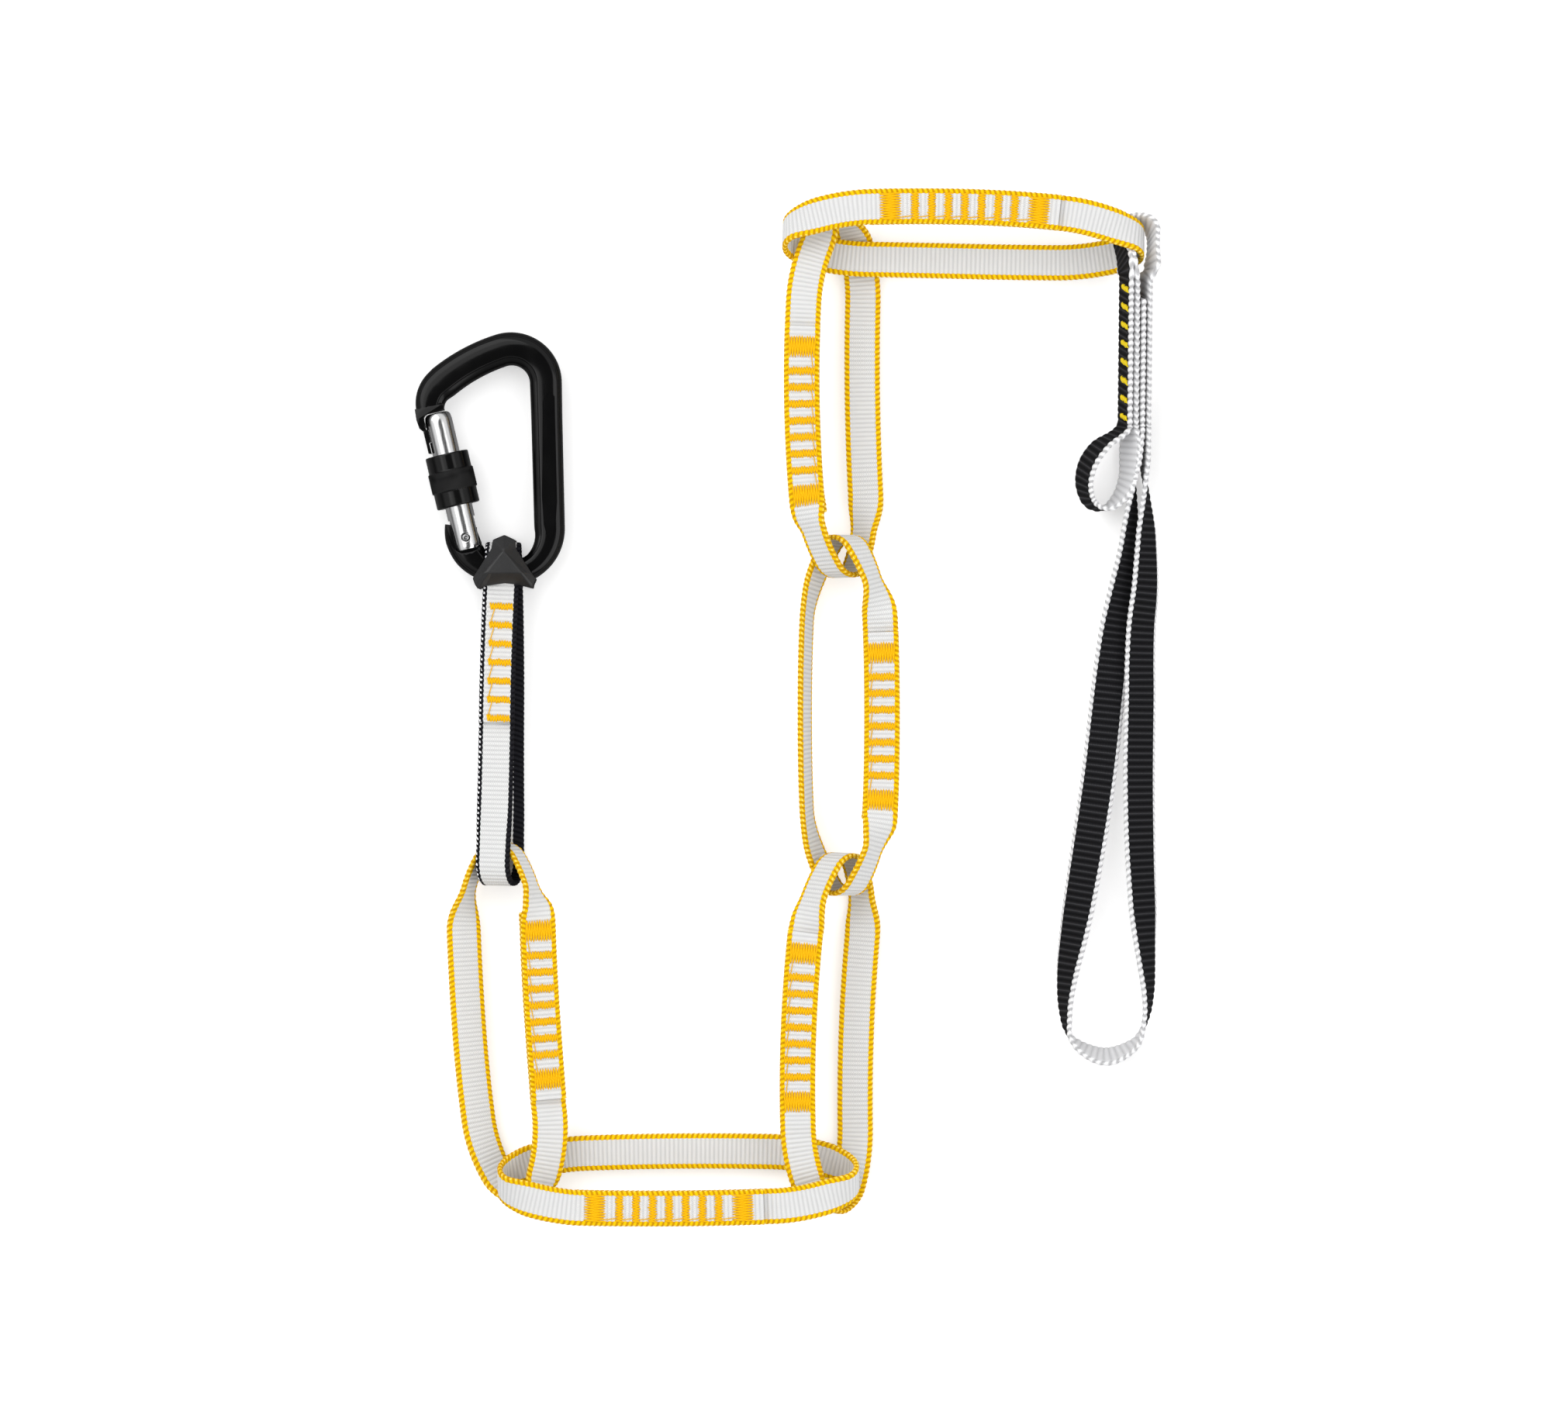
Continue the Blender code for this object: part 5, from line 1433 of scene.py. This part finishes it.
keeper = {
    "outline": ((-0.9, -2.2), (3.4, -4.2), (3.75, -7.8), (11.6, -20.0), (10.6, -22.2),
                (10.3, -23.7), (4.4, -22.2), (-0.9, -21.7), (-8.4, -22.8), (-11.6, -24.0),
                (-12.8, -22.2), (-13.7, -19.7), (-6.2, -7.8), (-5.6, -4.2)),
    "wall": 1.45 * mm,
    "slack": 1.2 * mm,
    "peak": (-1.2, -8.7),     # where the upper face's facets meet
    "peakRise": 5.0 * mm,
    "lip": -17.6 * mm,        # below this line the face falls away to the bottom edge
    "lipRise": 2.2 * mm,
    "lipHalf": 9.0 * mm,
    "lipDrop": 0.9 * mm,
    "softness": 0.9 * mm,
    "room": 0.3 * mm,
}


# The outline raised to a prism whose upper face comes up to a peak, with a lip along the bottom
def keeperMesh():
    k = keeper
    half = carabiner["halfThickness"] + sling["slack"] + tape["thickness"] + k["slack"] + k["wall"]
    bm = prism([(x * mm, y * mm) for x, y in k["outline"]], -half, half)
    lid = [face for face in bm.faces if face.calc_center_median().z > half - 0.1 * mm]
    peak = bmesh.ops.poke(bm, faces=lid)["verts"][0]
    peak.co = (k["peak"][0] * mm, k["peak"][1] * mm, half + k["peakRise"])
    bmesh.ops.bisect_plane(bm, geom=[*bm.verts, *bm.edges, *bm.faces], dist=0.000001,
                           plane_co=(0.0, k["lip"], 0.0), plane_no=(0.0, 1.0, 0.0))
    for vert in bm.verts:
        if vert.co.z < 0 or abs(vert.co.x + mm) > k["lipHalf"]:
            continue
        if abs(vert.co.y - k["lip"]) < 0.1 * mm:
            vert.co.z += k["lipRise"]
        elif vert.co.y < k["lip"]:
            vert.co.z -= k["lipDrop"]
    return bm, half


bm, keeperHalf = keeperMesh()
bm.transform(place)
keeperPiece = addPiece("rubber_keeper", bm, keeperRubber)
bevel = keeperPiece.modifiers.new("softEdges", "BEVEL")
bevel.width = keeper["softness"]
bevel.segments = 3
room = sling["top"] + tape["thickness"] / 2 + keeper["room"]
channel = keeperHalf - keeper["wall"]
opening = boxOf((-beyond, -beyond, -channel), (beyond, room, channel))
channelCutter = addCutter("channelCutter", opening, place)
cutBy(keeperPiece, [channelCutter])
settled(keeperPiece, [channelCutter], smoothAngle=10.0)
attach(keeperPiece, "carabiner_sling")
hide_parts("keeper")


# Floor, light and camera

studio = {
    "view": 631.9 * mm,        # width that the camera sees at the height of the tapes
    "lens": 200.0,
    "sensor": 36.0,
    "aim": (-0.8 * mm, 0.9 * mm, 13.0 * mm),
    "floorDrop": 0.3 * mm,
    "floor": grey(0.88),
    "mirroredFloor": grey(0.3),
    "fill": 0.35,
    "world": 0.68,
    "overhead": 0.12,          # what a mirror sees straight above it, where the camera stands
    "horizon": 0.2,
    "south": 0.35,
    # place, size and power
    "lamps": {"keyLamp": ((-0.9, 0.7, 1.5), 1.8, 17.5), "fillLamp": ((1.1, -0.4, 1.3), 1.6, 10.0)},
}


def stageFloor():
    bm = bmesh.new()
    bmesh.ops.create_grid(bm, x_segments=1, y_segments=1, size=4.0)
    bmesh.ops.translate(bm, verts=bm.verts, vec=(0.0, 0.0, -studio["floorDrop"]))
    made, tree, shader = newMaterial("studioFloor", {
        "Roughness": 0.8, "Specular IOR Level": 0.0, "Emission Color": grey(1.0)})
    light = tree.nodes.new("ShaderNodeLightPath").outputs
    joined(tree, shader["Emission Strength"], times(tree, light["Is Camera Ray"], studio["fill"]))
    joined(tree, shader["Base Color"],
           mixed(tree, light["Is Glossy Ray"], studio["floor"], studio["mirroredFloor"]))
    floor = addPiece("studio_floor", bm, made)


def areaLamp(name, at, size, power):
    data = bpy.data.lights.new(name, "AREA")
    data.shape = "RECTANGLE"
    data.size = data.size_y = size
    data.energy = power
    lamp = bpy.data.objects.new(name, data)
    lamp.location = at
    lamp.rotation_euler = (-Vector(at)).to_track_quat("-Z", "Y").to_euler()
    bpy.context.scene.collection.objects.link(lamp)


# A pale sky for the camera and for light, and a darker one with a dim top and side for mirrors
def paleWorld():
    world = bpy.data.worlds.new("paleStudio")
    world.use_nodes = True
    tree = world.node_tree
    background = tree.nodes["Background"].inputs
    background["Color"].default_value = grey(1.0)
    light = tree.nodes.new("ShaderNodeLightPath").outputs
    sky = tree.nodes.new("ShaderNodeSeparateXYZ")
    tree.links.new(tree.nodes.new("ShaderNodeTexCoord").outputs["Generated"], sky.inputs[0])
    north, up = sky.outputs[1], sky.outputs[2]
    mirrored = sums(tree, "MINIMUM", stepBetween(tree, up, 0.9, 0.93, 1.0, studio["overhead"]),
                    stepBetween(tree, up, 0.2, 0.5, studio["horizon"], 1.0))
    side = stepBetween(tree, north, -0.75, -0.3, studio["south"], 1.0)
    glossy = times(tree, light["Is Glossy Ray"], times(tree, mirrored, side))
    seen = sums(tree, "MAXIMUM", light["Is Camera Ray"], light["Is Transmission Ray"])
    plain = times(tree, studio["world"], minus(tree, 1.0, light["Is Glossy Ray"]))
    strength = sums(tree, "MAXIMUM", sums(tree, "MAXIMUM", seen, glossy), plain)
    joined(tree, background["Strength"], strength)
    return world


print("setting up the studio")
stageFloor()
bpy.context.scene.world = paleWorld()
for name, (at, size, power) in studio["lamps"].items():
    areaLamp(name, at, size, power)

data = bpy.data.cameras.new("studioCamera")
data.lens, data.sensor_width = studio["lens"], studio["sensor"]
camera = bpy.data.objects.new("studioCamera", data)
aim = Vector(studio["aim"])
camera.location = aim + Vector((0.0, 0.0, studio["view"] * studio["lens"] / studio["sensor"]))
bpy.context.scene.collection.objects.link(camera)
bpy.context.scene.camera = camera
bpy.context.scene.view_settings.view_transform = "Standard"
